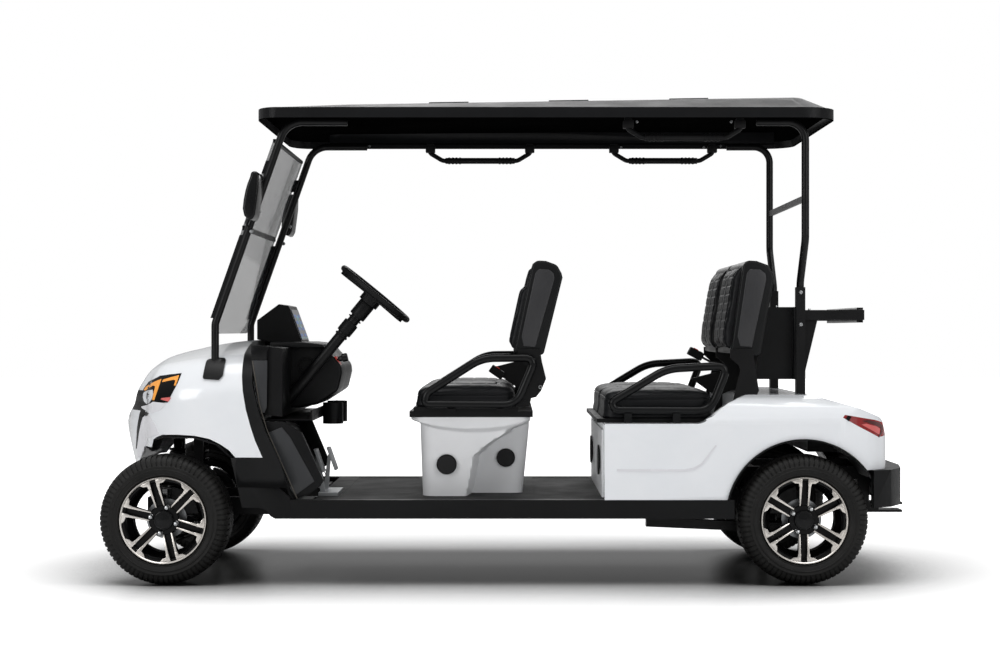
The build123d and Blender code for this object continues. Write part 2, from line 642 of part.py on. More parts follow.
arch_r = 305
well_x0, well_x1, well_y = 1180, 1410, 320
recess_x, recess_y = 872, 496
rear_solid = rear_form(0)
rear_shell = rear_solid - rear_form(wall)
rear_shell &= side_plate([(340, base_bottom_z), (rear_axle_x, base_bottom_z), (rear_axle_x, bumper_top_z),
                          (1600, bumper_top_z), (1600, 800), (340, 800)], -700, 700)
for sign in (-1, 1):
    rear_shell -= disc(rear_axle_x, sign * 350, sign * 700, axle_z + 10, 2 * arch_r)
rear_shell -= block(well_x0, well_x1, -well_y, well_y, 600, 800)
rear_shell -= block(base_front_x - 5, base_front_x + wall, -480, 480, floor_z, 598)
rear_shell -= block(690, recess_x, -recess_y, recess_y, base_top_z, 800)
recess = block(690, recess_x + wall, -recess_y - wall, recess_y + wall, base_top_z - wall, 800)
recess -= block(680, recess_x, -recess_y, recess_y, base_top_z, 800)
rear_shell += recess & rear_solid
tail_lamp_area = [(1274, 650), (1282, 661), (1405, 640), (1500, 612), (1500, 580), (1425, 571), (1341, 613)]
lamp_y = 395
tail_cuts = [side_plate(tail_lamp_area, -700, -lamp_y), side_plate(tail_lamp_area, lamp_y, 700)]
save("tail_lamps", [rear_shell & cut for cut in tail_cuts])
for cut in tail_cuts:
    rear_shell -= cut
save("rear_body", rear_shell)
save("rear_seat_panel", block(base_front_x - 6, base_front_x + wall, -480, 480, base_bottom_z, 598))
arch_band = []
for sign in (-1, 1):
    ring = disc(rear_axle_x, sign * 350, sign * (body_w + 12), axle_z + 10, 2 * arch_r)
    ring -= disc(rear_axle_x, sign * 340, sign * 700, axle_z + 10, 2 * arch_r - 12)
    ring &= block(700, 1380, -700, 700, 335, 700)
    arch_band.append(ring)
front_liner_path = [(-1428, 520), (-1416, 560), (-1375, 575), (-1243, 574), (-1160, 550), (-1100, 500), (-1035, 470)]
front_liner = side_plate(front_liner_path + [(x, z - 6) for x, z in reversed(front_liner_path)], -700, -300)
front_liner = (front_liner & front_inner) - side_shell
save("arch_liners", both(front_liner), arch_band)
well = block(well_x0, well_x1, -well_y, well_y, 500, 800) & rear_solid
well -= block(well_x0 + wall, well_x1 - wall, -well_y + wall, well_y - wall, 500 + wall, 800)
save("bag_well", well)
bumper_plan_half = [(1395, 585), (1470, 540), (1530, 430), (1560, 250)]
bumper_plan = bumper_plan_half + [(x, -y) for x, y in reversed(bumper_plan_half)]
bumper_back = [(1390, 548), (1442, 490), (1476, 395), (1487, 240)]
bumper_inner = bumper_back + [(x, -y) for x, y in reversed(bumper_back)]
bumper = plan_plate(bumper_plan + list(reversed(bumper_inner)), 300, bumper_top_z)
save("rear_bumper", bumper)
hitch = block(frame_rear_x, hitch_x, -50, 50, 231, 273)
hitch -= block(1520, hitch_x + 1, -60, 60, 241, 263)
hitch -= rod((1590, 0, 200), (1590, 0, 300), 16)
hitch += block(frame_rear_x - cross_w, frame_rear_x, -50, 50, 231, rail_kick_z)
save("tow_hitch", hitch)

# ---------------------------------------------------------------- bag rack and basket
basket_side = [(1005, 1082), (1120, 1082), (1120, 793), (966, 793)]
basket = side_plate(basket_side, -345, 345)
basket -= side_plate([(1012, 1083), (1114, 1083), (1114, 799), (973, 799)], -339, 339)
basket += block(1114, rear_post_x - rear_bracket / 2, -380, 380, 793, 1082)
save("sweater_basket", basket)
rack = []
for sign in (-1, 1):
    y0, y1 = sorted((sign * 350, sign * 378))
    rack.append(block(rear_post_x + 18, 1397, y0, y1, 1030, 1070))
bag_rack = rack[0] + rack[1] + block(1372, 1397, -350, 350, 1020, 1080)
save("bag_rack", bag_rack)

# ---------------------------------------------------------------- roof, posts, windshield
front_post = [(front_post_foot_x, -post_y, 800), (front_post_foot_x, -post_y, front_post_bend_z),
              (front_post_top_x, -post_y, rail_line_z), (-655, -post_y, rail_line_z)]
foot_side = [(-1231, 800), (-1226, 876), (-1148, 884), (-1152, 812), (-1166, 796)]
foot = front_form(-7) & side_plate(foot_side, -700, -300, [8, 14, 14, 8, 8])
post = (tube(front_post, post_d, [60, 90]) + foot) - front_solid
save("front_posts", both(post))
rear_post = [(950, -post_y, rail_line_z), (rear_post_x, -post_y, rail_line_z), (rear_post_x, -post_y, 1345),
             (rear_post_x, -rear_post_low_y, 1180), (rear_post_x, -rear_post_low_y, 1100)]
rear_posts = both(tube(rear_post, post_d, [70, 60, 60]))
half = rear_bracket / 2
bracket = block(rear_post_x - half, rear_post_x + half, -rear_post_low_y - half, -rear_post_low_y + half,
                deck_z - 20, rear_bracket_z1) - rear_solid
bracket -= block(rear_post_x - half + 3, rear_post_x + half - 3, -rear_post_low_y - half + 3,
                 -rear_post_low_y + half - 3, 1000, 1200)
rear_posts.append(block(rear_post_x - 5, rear_post_x + 5, -post_y, post_y, 1495, 1520))
save("rear_posts", rear_posts, both(bracket))


def roof_form(drop, inset):
    """The roof as a solid, lowered and made smaller all round."""
    length, cx = roof_rear_x - roof_front_x, (roof_rear_x + roof_front_x) / 2
    lip = RectangleRounded(length - 2 * inset, 2 * (roof_w - inset), 130 - inset)
    edge = RectangleRounded(length - 24 - 2 * inset, 2 * (roof_w - 12 - inset), 120 - inset)
    top = RectangleRounded(1868, 2 * (400 - inset), 60)
    z = roof_lip_z0 - drop
    form = extrude(Plane.XY.offset(z) * Pos(cx, 0) * lip, amount=roof_lip_h)
    low = Plane.XY.offset(z + roof_lip_h) * Pos(cx, 0) * edge
    high = Plane(origin=(roof_top_x, 0, roof_top_z - drop), z_dir=(-sin(roof_slope), 0, cos(roof_slope))) * top
    return form + loft([low, high])


canopy = roof_form(0, 0) - roof_form(roof_t, roof_t)
plateau = Plane(origin=(roof_top_x, 0, roof_top_z), z_dir=(-sin(roof_slope), 0, cos(roof_slope)))
for x0, x1 in ((-341, -183), (139, 297), (621, 776)):
    pad = Pos((x0 + x1) / 2 - roof_top_x, 0, -roof_t / 2) * Box(x1 - x0, 720, 2 * roof_pad_h + roof_t)
    canopy += plateau * (pad & Pos(0, 0, 500 - roof_t / 2) * Box(3000, 3000, 1000))
channels = both(block(-820, 1160, -post_y - 20, -post_y + 20, 1821, 1870) & roof_form(0, 0))
canopy += channels
save("roof_canopy", canopy)
handles = []
for x0, x1, sides in ((-387, 86, (1,)), (432, 900, (1, -1))):
    for sign in sides:
        y = sign * post_y
        grip = tube([(x0 + 12, y, 1806), (x0 + 12, y, 1780), (x0 + 70, y, 1745), (x1 - 70, y, 1745),
                     (x1 - 12, y, 1780), (x1 - 12, y, 1806)], 20, [20, 40, 40, 20])
        grip += block(x0, x0 + 30, y - 15, y + 15, 1795, 1821) + block(x1 - 30, x1, y - 15, y + 15, 1795, 1821)
        handles.append(grip)
save("grab_handles", handles)
lean = (rail_line_z - front_post_bend_z) / (front_post_top_x - front_post_foot_x)
glass_gap = 26
glass_t = 5


def on_post(z, ahead):
    """X of the front post line at height z, moved forward."""
    return front_post_foot_x + (z - front_post_bend_z) / lean - ahead


upper = [(on_post(1740, glass_gap), 1740), (on_post(1396, glass_gap), 1396)]
lower = [(on_post(1390, glass_gap), 1390), (on_post(975, glass_gap), 975)]
panes = []
for top, low in (upper, lower):
    panes.append(side_plate([top, low, (low[0] - glass_t, low[1]), (top[0] - glass_t, top[1])], -470, 470))
save("windshield_panes", panes)
clips = []
for z0, z1, w in ((1037, 1363, 40), (1605, 1655, 44)):
    clip_side = [(on_post(z0, glass_gap), z0), (on_post(z1, glass_gap), z1), (on_post(z1, 5), z1), (on_post(z0, 5), z0)]
    clips += both(side_plate(clip_side, -post_y - 5, -post_y + w) - post)
save("windshield_clips", clips)
mirror_z = 1505
housing = Pos(-1012, -600, mirror_z) * Box(62, 150, 190)
housing = fillet(housing.edges().filter_by(Axis.X), 30)
mirror_arm = tube([(-1045, -500, 1406), (-1045, -560, 1406), (-1030, -590, 1440)], 18, 15)
mirrors = (housing + mirror_arm) - post
save("side_mirrors", both(mirrors))

# ---------------------------------------------------------------- driver's controls
lean_rad = radians(column_lean)
column_dir = Vector(-sin(lean_rad), 0, -cos(lean_rad))
hub_point = Vector(wheel_hub_x, column_y, wheel_hub_z)


def along_column(distance):
    """A point on the steering axis, this far down from the wheel's centre."""
    return tuple(hub_point + column_dir * distance)


column = rod(along_column(62), along_column(560), column_d)
column += rod(along_column(18), along_column(70), 24)
save("steering_column", column)
save("dashboard", dash - display - column)
wheel_plane = Plane(origin=tuple(hub_point), x_dir=(cos(lean_rad), 0, -sin(lean_rad)), z_dir=tuple(-column_dir))
ring = Torus((wheel_ring_d - wheel_ring_t) / 2, wheel_ring_t / 2)
boss = Pos(0, 0, -50) * extrude(Circle(42), amount=46)
boss -= Pos(0, 0, -60) * extrude(Circle(12 + bearing_gap), amount=42.2)
wheel_shape = ring + boss
for turn in (90, 210, 330):
    spoke = Rot(0, 0, turn) * extrude(Plane.XY.offset(-22) * Pos(100, 0) * Rectangle(140, 30), amount=14)
    spoke += Rot(0, 0, turn) * Pos(162, 0, -11) * Box(12, 30, 20)
    wheel_shape += spoke
save("steering_wheel", wheel_plane * wheel_shape)
pedals = block(-778, -700, -420, -180, floor_z, floor_z + 14)
for y, x_top, z_top in ((-345, -797, 514), (-235, -757, 514)):
    stalk = side_plate([(-776, floor_z + 10), (-755, floor_z + 10), (x_top + 12, z_top - 30), (x_top, z_top - 30)],
                       y - 8, y + 8)
    pad = side_plate([(x_top - 4, z_top), (x_top + 8, z_top), (x_top + 40, z_top - 90), (x_top + 30, z_top - 94)],
                     y - 34, y + 34)
    pedals += stalk + pad
save("pedals", pedals)
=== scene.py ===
import json
import math

import bpy
from mathutils import Matrix, Vector


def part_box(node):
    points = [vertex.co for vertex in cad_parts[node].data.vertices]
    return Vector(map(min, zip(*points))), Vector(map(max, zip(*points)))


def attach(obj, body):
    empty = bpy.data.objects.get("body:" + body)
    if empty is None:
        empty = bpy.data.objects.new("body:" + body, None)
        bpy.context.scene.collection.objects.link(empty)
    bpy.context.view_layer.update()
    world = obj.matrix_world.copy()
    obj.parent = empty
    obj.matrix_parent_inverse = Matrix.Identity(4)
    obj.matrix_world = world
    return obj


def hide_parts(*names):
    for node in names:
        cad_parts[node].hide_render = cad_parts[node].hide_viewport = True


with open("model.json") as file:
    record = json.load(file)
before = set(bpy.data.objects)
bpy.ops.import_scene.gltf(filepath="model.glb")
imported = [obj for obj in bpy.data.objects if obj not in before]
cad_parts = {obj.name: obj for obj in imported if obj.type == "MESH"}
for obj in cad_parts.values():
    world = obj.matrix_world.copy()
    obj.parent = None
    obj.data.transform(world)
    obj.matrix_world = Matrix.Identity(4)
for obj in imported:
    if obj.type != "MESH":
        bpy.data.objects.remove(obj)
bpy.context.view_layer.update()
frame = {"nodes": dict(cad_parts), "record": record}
scene = bpy.context.scene
cadNodes = frame["nodes"]
bodyOf = {node: body for body, members in frame["record"]["behaviour"]["bodies"].items() for node in members}
slotOf = {part["node"]: part["material_slot"] for part in frame["record"]["subparts"]}
print("frame loaded,", len(cadNodes), "nodes")

# picking and editing

def pickNone():
    for item in list(bpy.context.selected_objects):
        item.select_set(False)


def pickOnly(piece):
    pickNone()
    piece.select_set(True)
    bpy.context.view_layer.objects.active = piece


def editAll(piece, kind="VERT"):
    pickOnly(piece)
    bpy.ops.object.mode_set(mode="EDIT")
    bpy.ops.mesh.select_mode(type=kind)
    bpy.ops.mesh.select_all(action="SELECT")


def editFaces(piece, test):
    # opens the piece with only the faces picked whose centre and normal pass the test
    editAll(piece, "FACE")
    bpy.ops.mesh.select_all(action="DESELECT")
    bpy.ops.object.mode_set(mode="OBJECT")
    for face in piece.data.polygons:
        face.select = bool(test(face.center, face.normal))
    bpy.ops.object.mode_set(mode="EDIT")


def editDone():
    bpy.ops.object.mode_set(mode="OBJECT")


def applyAll(piece):
    pickOnly(piece)
    for modifier in list(piece.modifiers):
        bpy.ops.object.modifier_apply(modifier=modifier.name)


def settle(piece):
    pickOnly(piece)
    bpy.ops.object.transform_apply(location=True, rotation=True, scale=True)


def smoothBy(piece, degrees=34):
    pickOnly(piece)
    bpy.ops.object.shade_smooth_by_angle(angle=math.radians(degrees))


def roundEdges(piece, width, segments=2, degrees=34):
    softener = piece.modifiers.new("edgeRound", "BEVEL")
    softener.width = width
    softener.segments = segments
    softener.limit_method = "ANGLE"
    softener.angle_limit = math.radians(degrees)
    softener.harden_normals = False
    applyAll(piece)


def place(piece, finish, body, stands=()):
    # one finish, one body and one material slot for a finished piece
    piece.data.materials.clear()
    for one in finish if isinstance(finish, (list, tuple)) else [finish]:
        piece.data.materials.append(one)
    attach(piece, body)
    if stands:
        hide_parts(*stands)
    return piece


def drawChain(name, points):
    # a chain of edges, drawn by extruding one vertex from point to point
    bpy.ops.mesh.primitive_plane_add(size=0.01, location=(0, 0, 0))
    piece = bpy.context.object
    piece.name = name
    piece.data.name = name
    editAll(piece)
    bpy.ops.mesh.merge(type="CENTER")
    bpy.ops.mesh.select_all(action="SELECT")
    bpy.ops.transform.translate(value=points[0])
    for start, end in zip(points, points[1:]):
        bpy.ops.mesh.extrude_region_move(TRANSFORM_OT_translate={"value": Vector(end) - Vector(start)})
    return piece


def lathe(name, points, centre, axis, steps, closed=True):
    # a chain of points spun once round an axis
    piece = drawChain(name, points + points[:1] if closed else points)
    bpy.ops.mesh.select_all(action="SELECT")
    bpy.ops.mesh.remove_doubles(threshold=0.00001)
    bpy.ops.mesh.select_all(action="SELECT")
    bpy.ops.mesh.spin(steps=steps, angle=2 * math.pi, center=centre, axis=axis)
    bpy.ops.mesh.select_all(action="SELECT")
    bpy.ops.mesh.remove_doubles(threshold=0.00002)
    bpy.ops.mesh.normals_make_consistent(inside=False)
    editDone()
    return piece


def slab(name, points, depth):
    # a flat outline pulled out by depth
    piece = drawChain(name, points)
    bpy.ops.mesh.select_all(action="SELECT")
    bpy.ops.mesh.edge_face_add()
    bpy.ops.mesh.select_all(action="SELECT")
    bpy.ops.mesh.extrude_region_move(TRANSFORM_OT_translate={"value": depth})
    bpy.ops.mesh.select_all(action="SELECT")
    bpy.ops.mesh.normals_make_consistent(inside=False)
    editDone()
    return piece


def brick(name, low, high):
    low, high = Vector(low), Vector(high)
    bpy.ops.mesh.primitive_cube_add(size=1, location=(low + high) / 2, scale=high - low)
    piece = bpy.context.object
    piece.name = name
    settle(piece)
    return piece


def drum(name, start, end, radius, sides=32):
    start, end = Vector(start), Vector(end)
    run = end - start
    bpy.ops.mesh.primitive_cylinder_add(vertices=sides, radius=radius, depth=run.length,
                                        location=(start + end) / 2,
                                        rotation=run.to_track_quat("Z", "Y").to_euler())
    piece = bpy.context.object
    piece.name = name
    settle(piece)
    return piece


def pipe(name, points, radius, corner=0.02, closed=False):
    # a round bar along a bent line, its corners softened by bezier handles
    bpy.ops.curve.primitive_bezier_curve_add(location=(0, 0, 0))
    piece = bpy.context.object
    piece.name = name
    line = piece.data
    line.splines.clear()
    spline = line.splines.new("POLY")
    route = cornered([Vector(point) for point in points], corner, closed)
    spline.points.add(len(route) - 1)
    for knot, point in zip(spline.points, route):
        knot.co = (*point, 1)
    spline.use_cyclic_u = closed
    line.dimensions = "3D"
    line.bevel_depth = radius
    line.bevel_resolution = 5
    line.use_fill_caps = not closed
    pickOnly(piece)
    bpy.ops.object.convert(target="MESH")
    piece = bpy.context.object
    smoothBy(piece, 40)
    return piece


def cornered(points, corner, closed=False):
    # cuts each corner of a line with a short arc
    route = []
    count = len(points)
    for i, point in enumerate(points):
        if not closed and i in (0, count - 1):
            route.append(point)
            continue
        before, after = points[i - 1], points[(i + 1) % count]
        cut = min(corner, (point - before).length * 0.45, (point - after).length * 0.45)
        start = point + (before - point).normalized() * cut
        end = point + (after - point).normalized() * cut
        for k in range(7):
            t = k / 6
            route.append(start * (1 - t) ** 2 + point * 2 * t * (1 - t) + end * t * t)
    return route


def joined(name, pieces):
    # several pieces joined as one mesh
    pickNone()
    for piece in pieces:
        piece.select_set(True)
    bpy.context.view_layer.objects.active = pieces[0]
    bpy.ops.object.join()
    pieces[0].name = name
    return pieces[0]


def flipAcross(piece):
    # to the other side of the cart, faces still outwards
    piece.data.transform(Matrix.Diagonal((1, -1, 1, 1)))
    piece.data.flip_normals()


def thicken(piece, name, thickness, offset):
    # gives a sheet its thickness
    thick = piece.modifiers.new(name, "SOLIDIFY")
    thick.thickness = thickness
    thick.offset = offset
    applyAll(piece)


def copyOf(piece, name, shift=(0, 0, 0), mirrored=False):
    # a copy with its own mesh, moved or put on the other side of the cart
    made = bpy.data.objects.new(name, piece.data.copy())
    scene.collection.objects.link(made)
    if mirrored:
        flipAcross(made)
    made.data.transform(Matrix.Translation(shift))
    return made


# camera, lamps and floor
view = {"place": (-0.017, -7.76, 0.99), "lens": 66.6, "shiftX": -0.010, "shiftY": -0.0045}
bpy.ops.object.camera_add(location=view["place"], rotation=(math.radians(90), 0, 0))
camera = bpy.context.object
camera.data.lens = view["lens"]
camera.data.shift_x = view["shiftX"]
camera.data.shift_y = view["shiftY"]
camera.data.clip_end = 80
scene.camera = camera
scene.view_settings.view_transform = "Standard"

studioLamps = [
    # name, place, aim, width, depth, watts
    ("overheadSoftbox", (0.2, -0.6, 5.0), (0.0, 0.0, 0.6), 5.5, 3.6, 190),
    ("frontLeftSoftbox", (-4.6, -5.0, 2.4), (-0.3, 0.0, 0.7), 2.4, 2.4, 76),
    ("rearLeftSoftbox", (4.8, -5.0, 2.4), (0.3, 0.0, 0.7), 2.4, 2.4, 64),
    ("backSoftbox", (0.4, 5.5, 3.4), (0.0, 0.0, 0.8), 4.5, 2.2, 60),
]
for name, spot, aim, width, depth, watts in studioLamps:
    bpy.ops.object.light_add(type="AREA", location=spot)
    lamp = bpy.context.object
    lamp.name = name
    lamp.data.shape = "RECTANGLE"
    lamp.data.size = width
    lamp.data.size_y = depth
    lamp.data.energy = watts
    lamp.rotation_euler = (Vector(aim) - Vector(spot)).to_track_quat("-Z", "Y").to_euler()

# shader helpers

def wire(tree, source, target):
    tree.links.new(source, target)


def addNode(tree, kind, **values):
    made = tree.nodes.new(kind)
    for key, value in values.items():
        setattr(made, key, value)
    return made


def linear(code):
    # a web colour as linear light
    parts = [int(code[i:i + 2], 16) / 255 for i in (0, 2, 4)]
    return tuple(p / 12.92 if p <= 0.04045 else ((p + 0.055) / 1.055) ** 2.4 for p in parts) + (1,)


def newGroup(name, inputs, outputs):
    group = bpy.data.node_groups.new(name, "ShaderNodeTree")
    for label, kind, value in inputs:
        socket = group.interface.new_socket(name=label, in_out="INPUT", socket_type=kind)
        if value is not None:
            socket.default_value = value
    for label, kind in outputs:
        group.interface.new_socket(name=label, in_out="OUTPUT", socket_type=kind)
    return group, group.nodes.new("NodeGroupInput"), group.nodes.new("NodeGroupOutput")


def buildCloudGroup():
    # slow patches of noise between a low and a high value
    group, given, out = newGroup(
        "cloudPatches",
        [("Vector", "NodeSocketVector", None), ("Scale", "NodeSocketFloat", 4.0),
         ("Low", "NodeSocketFloat", 0.3), ("High", "NodeSocketFloat", 0.5)],
        [("Value", "NodeSocketFloat")])
    noise = addNode(group, "ShaderNodeTexNoise")
    noise.inputs["Detail"].default_value = 5
    noise.inputs["Roughness"].default_value = 0.6
    spread = addNode(group, "ShaderNodeMapRange")
    spread.inputs["From Min"].default_value = 0.32
    spread.inputs["From Max"].default_value = 0.68
    wire(group, given.outputs["Vector"], noise.inputs["Vector"])
    wire(group, given.outputs["Scale"], noise.inputs["Scale"])
    wire(group, noise.outputs["Fac"], spread.inputs["Value"])
    wire(group, given.outputs["Low"], spread.inputs["To Min"])
    wire(group, given.outputs["High"], spread.inputs["To Max"])
    wire(group, spread.outputs["Result"], out.inputs["Value"])
    return group


def buildGrainGroup():
    # fine pebbled grain as a normal, with the valleys as a mask
    group, given, out = newGroup(
        "pebbleGrain",
        [("Vector", "NodeSocketVector", None), ("Scale", "NodeSocketFloat", 900.0),
         ("Strength", "NodeSocketFloat", 0.3), ("Depth", "NodeSocketFloat", 0.0004)],
        [("Normal", "NodeSocketVector"), ("Valley", "NodeSocketFloat")])
    cells = addNode(group, "ShaderNodeTexVoronoi", feature="SMOOTH_F1")
    cells.inputs["Smoothness"].default_value = 0.6
    noise = addNode(group, "ShaderNodeTexNoise")
    noise.inputs["Detail"].default_value = 3
    blend = addNode(group, "ShaderNodeMath", operation="MULTIPLY_ADD")
    blend.inputs[1].default_value = 0.7
    bump = addNode(group, "ShaderNodeBump")
    for target in (cells, noise):
        wire(group, given.outputs["Vector"], target.inputs["Vector"])
        wire(group, given.outputs["Scale"], target.inputs["Scale"])
    wire(group, cells.outputs["Distance"], blend.inputs[0])
    wire(group, noise.outputs["Fac"], blend.inputs[2])
    wire(group, blend.outputs[0], bump.inputs["Height"])
    wire(group, given.outputs["Strength"], bump.inputs["Strength"])
    wire(group, given.outputs["Depth"], bump.inputs["Distance"])
    wire(group, bump.outputs["Normal"], out.inputs["Normal"])
    wire(group, cells.outputs["Distance"], out.inputs["Valley"])
    return group


def buildDustGroup():
    # a light film on upward faces, broken up by noise
    group, given, out = newGroup(
        "dustFilm",
        [("Vector", "NodeSocketVector", None), ("Scale", "NodeSocketFloat", 9.0),
         ("Amount", "NodeSocketFloat", 0.2)],
        [("Mask", "NodeSocketFloat")])
    shape = addNode(group, "ShaderNodeNewGeometry")
    split = addNode(group, "ShaderNodeSeparateXYZ")
    up = addNode(group, "ShaderNodeMapRange")
    up.inputs["From Min"].default_value = 0.2
    noise = addNode(group, "ShaderNodeTexNoise")
    noise.inputs["Detail"].default_value = 6
    both = addNode(group, "ShaderNodeMath", operation="MULTIPLY")
    weigh = addNode(group, "ShaderNodeMath", operation="MULTIPLY")
    wire(group, shape.outputs["Normal"], split.inputs["Vector"])
    wire(group, split.outputs["Z"], up.inputs["Value"])
    wire(group, given.outputs["Vector"], noise.inputs["Vector"])
    wire(group, given.outputs["Scale"], noise.inputs["Scale"])
    wire(group, up.outputs["Result"], both.inputs[0])
    wire(group, noise.outputs["Fac"], both.inputs[1])
    wire(group, both.outputs[0], weigh.inputs[0])
    wire(group, given.outputs["Amount"], weigh.inputs[1])
    wire(group, weigh.outputs[0], out.inputs["Mask"])
    return group


cloudGroup = buildCloudGroup()
grainGroup = buildGrainGroup()
dustGroup = buildDustGroup()


def groupNode(tree, group, **values):
    made = addNode(tree, "ShaderNodeGroup", node_tree=group)
    for label, value in values.items():
        made.inputs[label].default_value = value
    return made


def blankMaterial(name):
    made = bpy.data.materials.new(name)
    made.use_nodes = True
    tree = made.node_tree
    shader = tree.nodes["Principled BSDF"]
    spot = addNode(tree, "ShaderNodeTexCoord")
    return made, tree, shader, spot.outputs["Object"]


def mixColours(tree, factor, first, second):
    mixer = addNode(tree, "ShaderNodeMix", data_type="RGBA")
    if hasattr(factor, "is_linked"):
        wire(tree, factor, mixer.inputs["Factor"])
    else:
        mixer.inputs["Factor"].default_value = factor
    for label, value in (("A", first), ("B", second)):
        socket = [s for s in mixer.inputs if s.name == label and s.type == "RGBA"][0]
        if hasattr(value, "is_linked"):
            wire(tree, value, socket)
        else:
            socket.default_value = value
    return [s for s in mixer.outputs if s.type == "RGBA"][0]


def finishOf(name, spec):
    # a moulded, painted or metal surface: patchy colour and gloss, fine grain and a trace of dust
    made, tree, shader, where = blankMaterial(name)
    tone = groupNode(tree, cloudGroup, Scale=spec.get("patch", 3.0), Low=0.0, High=1.0)
    gloss = groupNode(tree, cloudGroup, Scale=spec.get("patch", 3.0) * 2.3, Low=spec["rough"][0],
                      High=spec["rough"][1])
    grain = groupNode(tree, grainGroup, Scale=spec["grain"][0], Strength=spec["grain"][1],
                      Depth=spec["grain"][2])
    for target in (tone, gloss, grain):
        wire(tree, where, target.inputs["Vector"])
    colour = mixColours(tree, tone.outputs["Value"], linear(spec["colour"][0]), linear(spec["colour"][1]))
    if spec.get("dust"):
        film = groupNode(tree, dustGroup, Amount=spec["dust"])
        wire(tree, where, film.inputs["Vector"])
        colour = mixColours(tree, film.outputs["Mask"], colour, linear("8C8A86"))
    wire(tree, colour, shader.inputs["Base Color"])
    wire(tree, gloss.outputs["Value"], shader.inputs["Roughness"])
    wire(tree, grain.outputs["Normal"], shader.inputs["Normal"])
    shader.inputs["Metallic"].default_value = spec.get("metal", 0)
    shader.inputs["Coat Weight"].default_value = spec.get("coat", 0)
    shader.inputs["Coat Roughness"].default_value = spec.get("coatRough", 0.05)
    shader.inputs["Specular IOR Level"].default_value = spec.get("specular", 0.5)
    return made


finishes = {
    "bodyPaint": {"colour": ("ECEEF1", "E6E9ED"), "rough": (0.16, 0.24), "grain": (260, 0.03, 0.0002),
                  "coat": 0.6, "coatRough": 0.03},
    "blackTrim": {"colour": ("0B0B0C", "101112"), "rough": (0.38, 0.52), "grain": (900, 0.3, 0.0004),
                  "dust": 0.01, "specular": 0.16},
    "roofSkin": {"colour": ("0C0C0D", "111214"), "rough": (0.34, 0.44), "grain": (700, 0.2, 0.0004),
                 "dust": 0.01, "specular": 0.16},
    "glossTrim": {"colour": ("0A0A0B", "0F1011"), "rough": (0.16, 0.26), "grain": (400, 0.03, 0.0002),
                  "specular": 0.2},
    "floorMat": {"colour": ("131314", "1A1B1B"), "rough": (0.6, 0.75), "grain": (1200, 0.5, 0.0004),
                 "dust": 0.04, "specular": 0.14},
    "podPlastic": {"colour": ("DEDFE1", "E8E9EB"), "rough": (0.38, 0.48), "grain": (800, 0.12, 0.0003),
                   "dust": 0.02},
    # a slightly grey white; on the rear body's crease line it is painted shadow
    "facetGrey": {"colour": ("DADADF", "E2E2E6"), "rough": (0.2, 0.3), "grain": (400, 0.05, 0.0002),
                  "coat": 0.4},
    "lampChrome": {"colour": ("DDE2EA", "F2F4F8"), "rough": (0.12, 0.2), "grain": (300, 0.05, 0.0002),
                   "metal": 0.3},
    "lampAmber": {"colour": ("F08A24", "FFAE4A"), "rough": (0.15, 0.25), "grain": (500, 0.05, 0.0002)},
    "lampBlack": {"colour": ("050506", "0B0B0C"), "rough": (0.2, 0.3), "grain": (300, 0.03, 0.0002),
                  "specular": 0.12},
    "tailRed": {"colour": ("7E0D10", "971418"), "rough": (0.08, 0.16), "grain": (300, 0.03, 0.0002),
                "coat": 0.5},
    # tailBright: pale red, for the painted highlight on the tail lamp; also used for the headlamp's
    # lampAmberFoot mark
    "tailBright": {"colour": ("C84A4C", "DC706C"), "rough": (0.1, 0.2), "grain": (300, 0.05, 0.0002),
                   "coat": 0.5},
    "tailDark": {"colour": ("3E0608", "520A0C"), "rough": (0.08, 0.16), "grain": (300, 0.03, 0.0002),
                 "coat": 0.5},
    "framePaint": {"colour": ("0B0B0C", "101011"), "rough": (0.28, 0.4), "grain": (500, 0.12, 0.0003),
                   "dust": 0.01, "specular": 0.2},
    "castIron": {"colour": ("1E1E1F", "2A2A2A"), "rough": (0.45, 0.65), "grain": (500, 0.6, 0.0006),
                 "metal": 0.6, "dust": 0.08},
    "turnedAlloy": {"colour": ("CFC9C2", "DDD9D4"), "rough": (0.24, 0.34), "grain": (1500, 0.16, 0.0002),
                    "metal": 1.0},
    "alloyPaint": {"colour": ("060607", "0B0B0C"), "rough": (0.24, 0.36), "grain": (500, 0.06, 0.0002),
                   "specular": 0.16},
    "discSteel": {"colour": ("8F9193", "A2A4A6"), "rough": (0.28, 0.4), "grain": (1200, 0.2, 0.0002),
                  "metal": 1.0},
    "zincBolt": {"colour": ("A9ABAD", "C2C4C5"), "rough": (0.22, 0.34), "grain": (900, 0.1, 0.0002),
                 "metal": 1.0},
    "padAluminium": {"colour": ("9C9EA0", "B2B4B6"), "rough": (0.35, 0.5), "grain": (700, 0.3, 0.0003),
                     "metal": 1.0},
    "gripRubber": {"colour": ("0C0C0D", "121213"), "rough": (0.45, 0.6), "grain": (1400, 0.3, 0.0003),
                   "specular": 0.18},
    "signalRed": {"colour": ("C4261B", "D0392A"), "rough": (0.25, 0.35), "grain": (500, 0.05, 0.0002)},
    "seatShell": {"colour": ("0B0C0D", "111213"), "rough": (0.3, 0.4), "grain": (700, 0.22, 0.0003),
                  "specular": 0.2},
    "sidePanelGrey": {"colour": ("303133", "38393B"), "rough": (0.35, 0.48), "grain": (800, 0.25, 0.0003),
                      "specular": 0.3},
    "backPanelGrey": {"colour": ("262628", "2F2F31"), "rough": (0.3, 0.42), "grain": (900, 0.3, 0.0003),
                      "specular": 0.4},
    # painted shade under the roof: near-black, matt and without shine
    "undersideShadeBlack": {"colour": ("040404", "080808"), "rough": (0.8, 0.9), "grain": (900, 0.2, 0.0003),
                    "specular": 0.0},
    # painted highlight for the front frame's outer edge
    "edgeHighlightPaint": {"colour": ("4A4640", "57524B"), "rough": (0.3, 0.4), "grain": (500, 0.1, 0.0002),
                   "specular": 0.4},
}
finish = {name: finishOf(name, spec) for name, spec in finishes.items()}


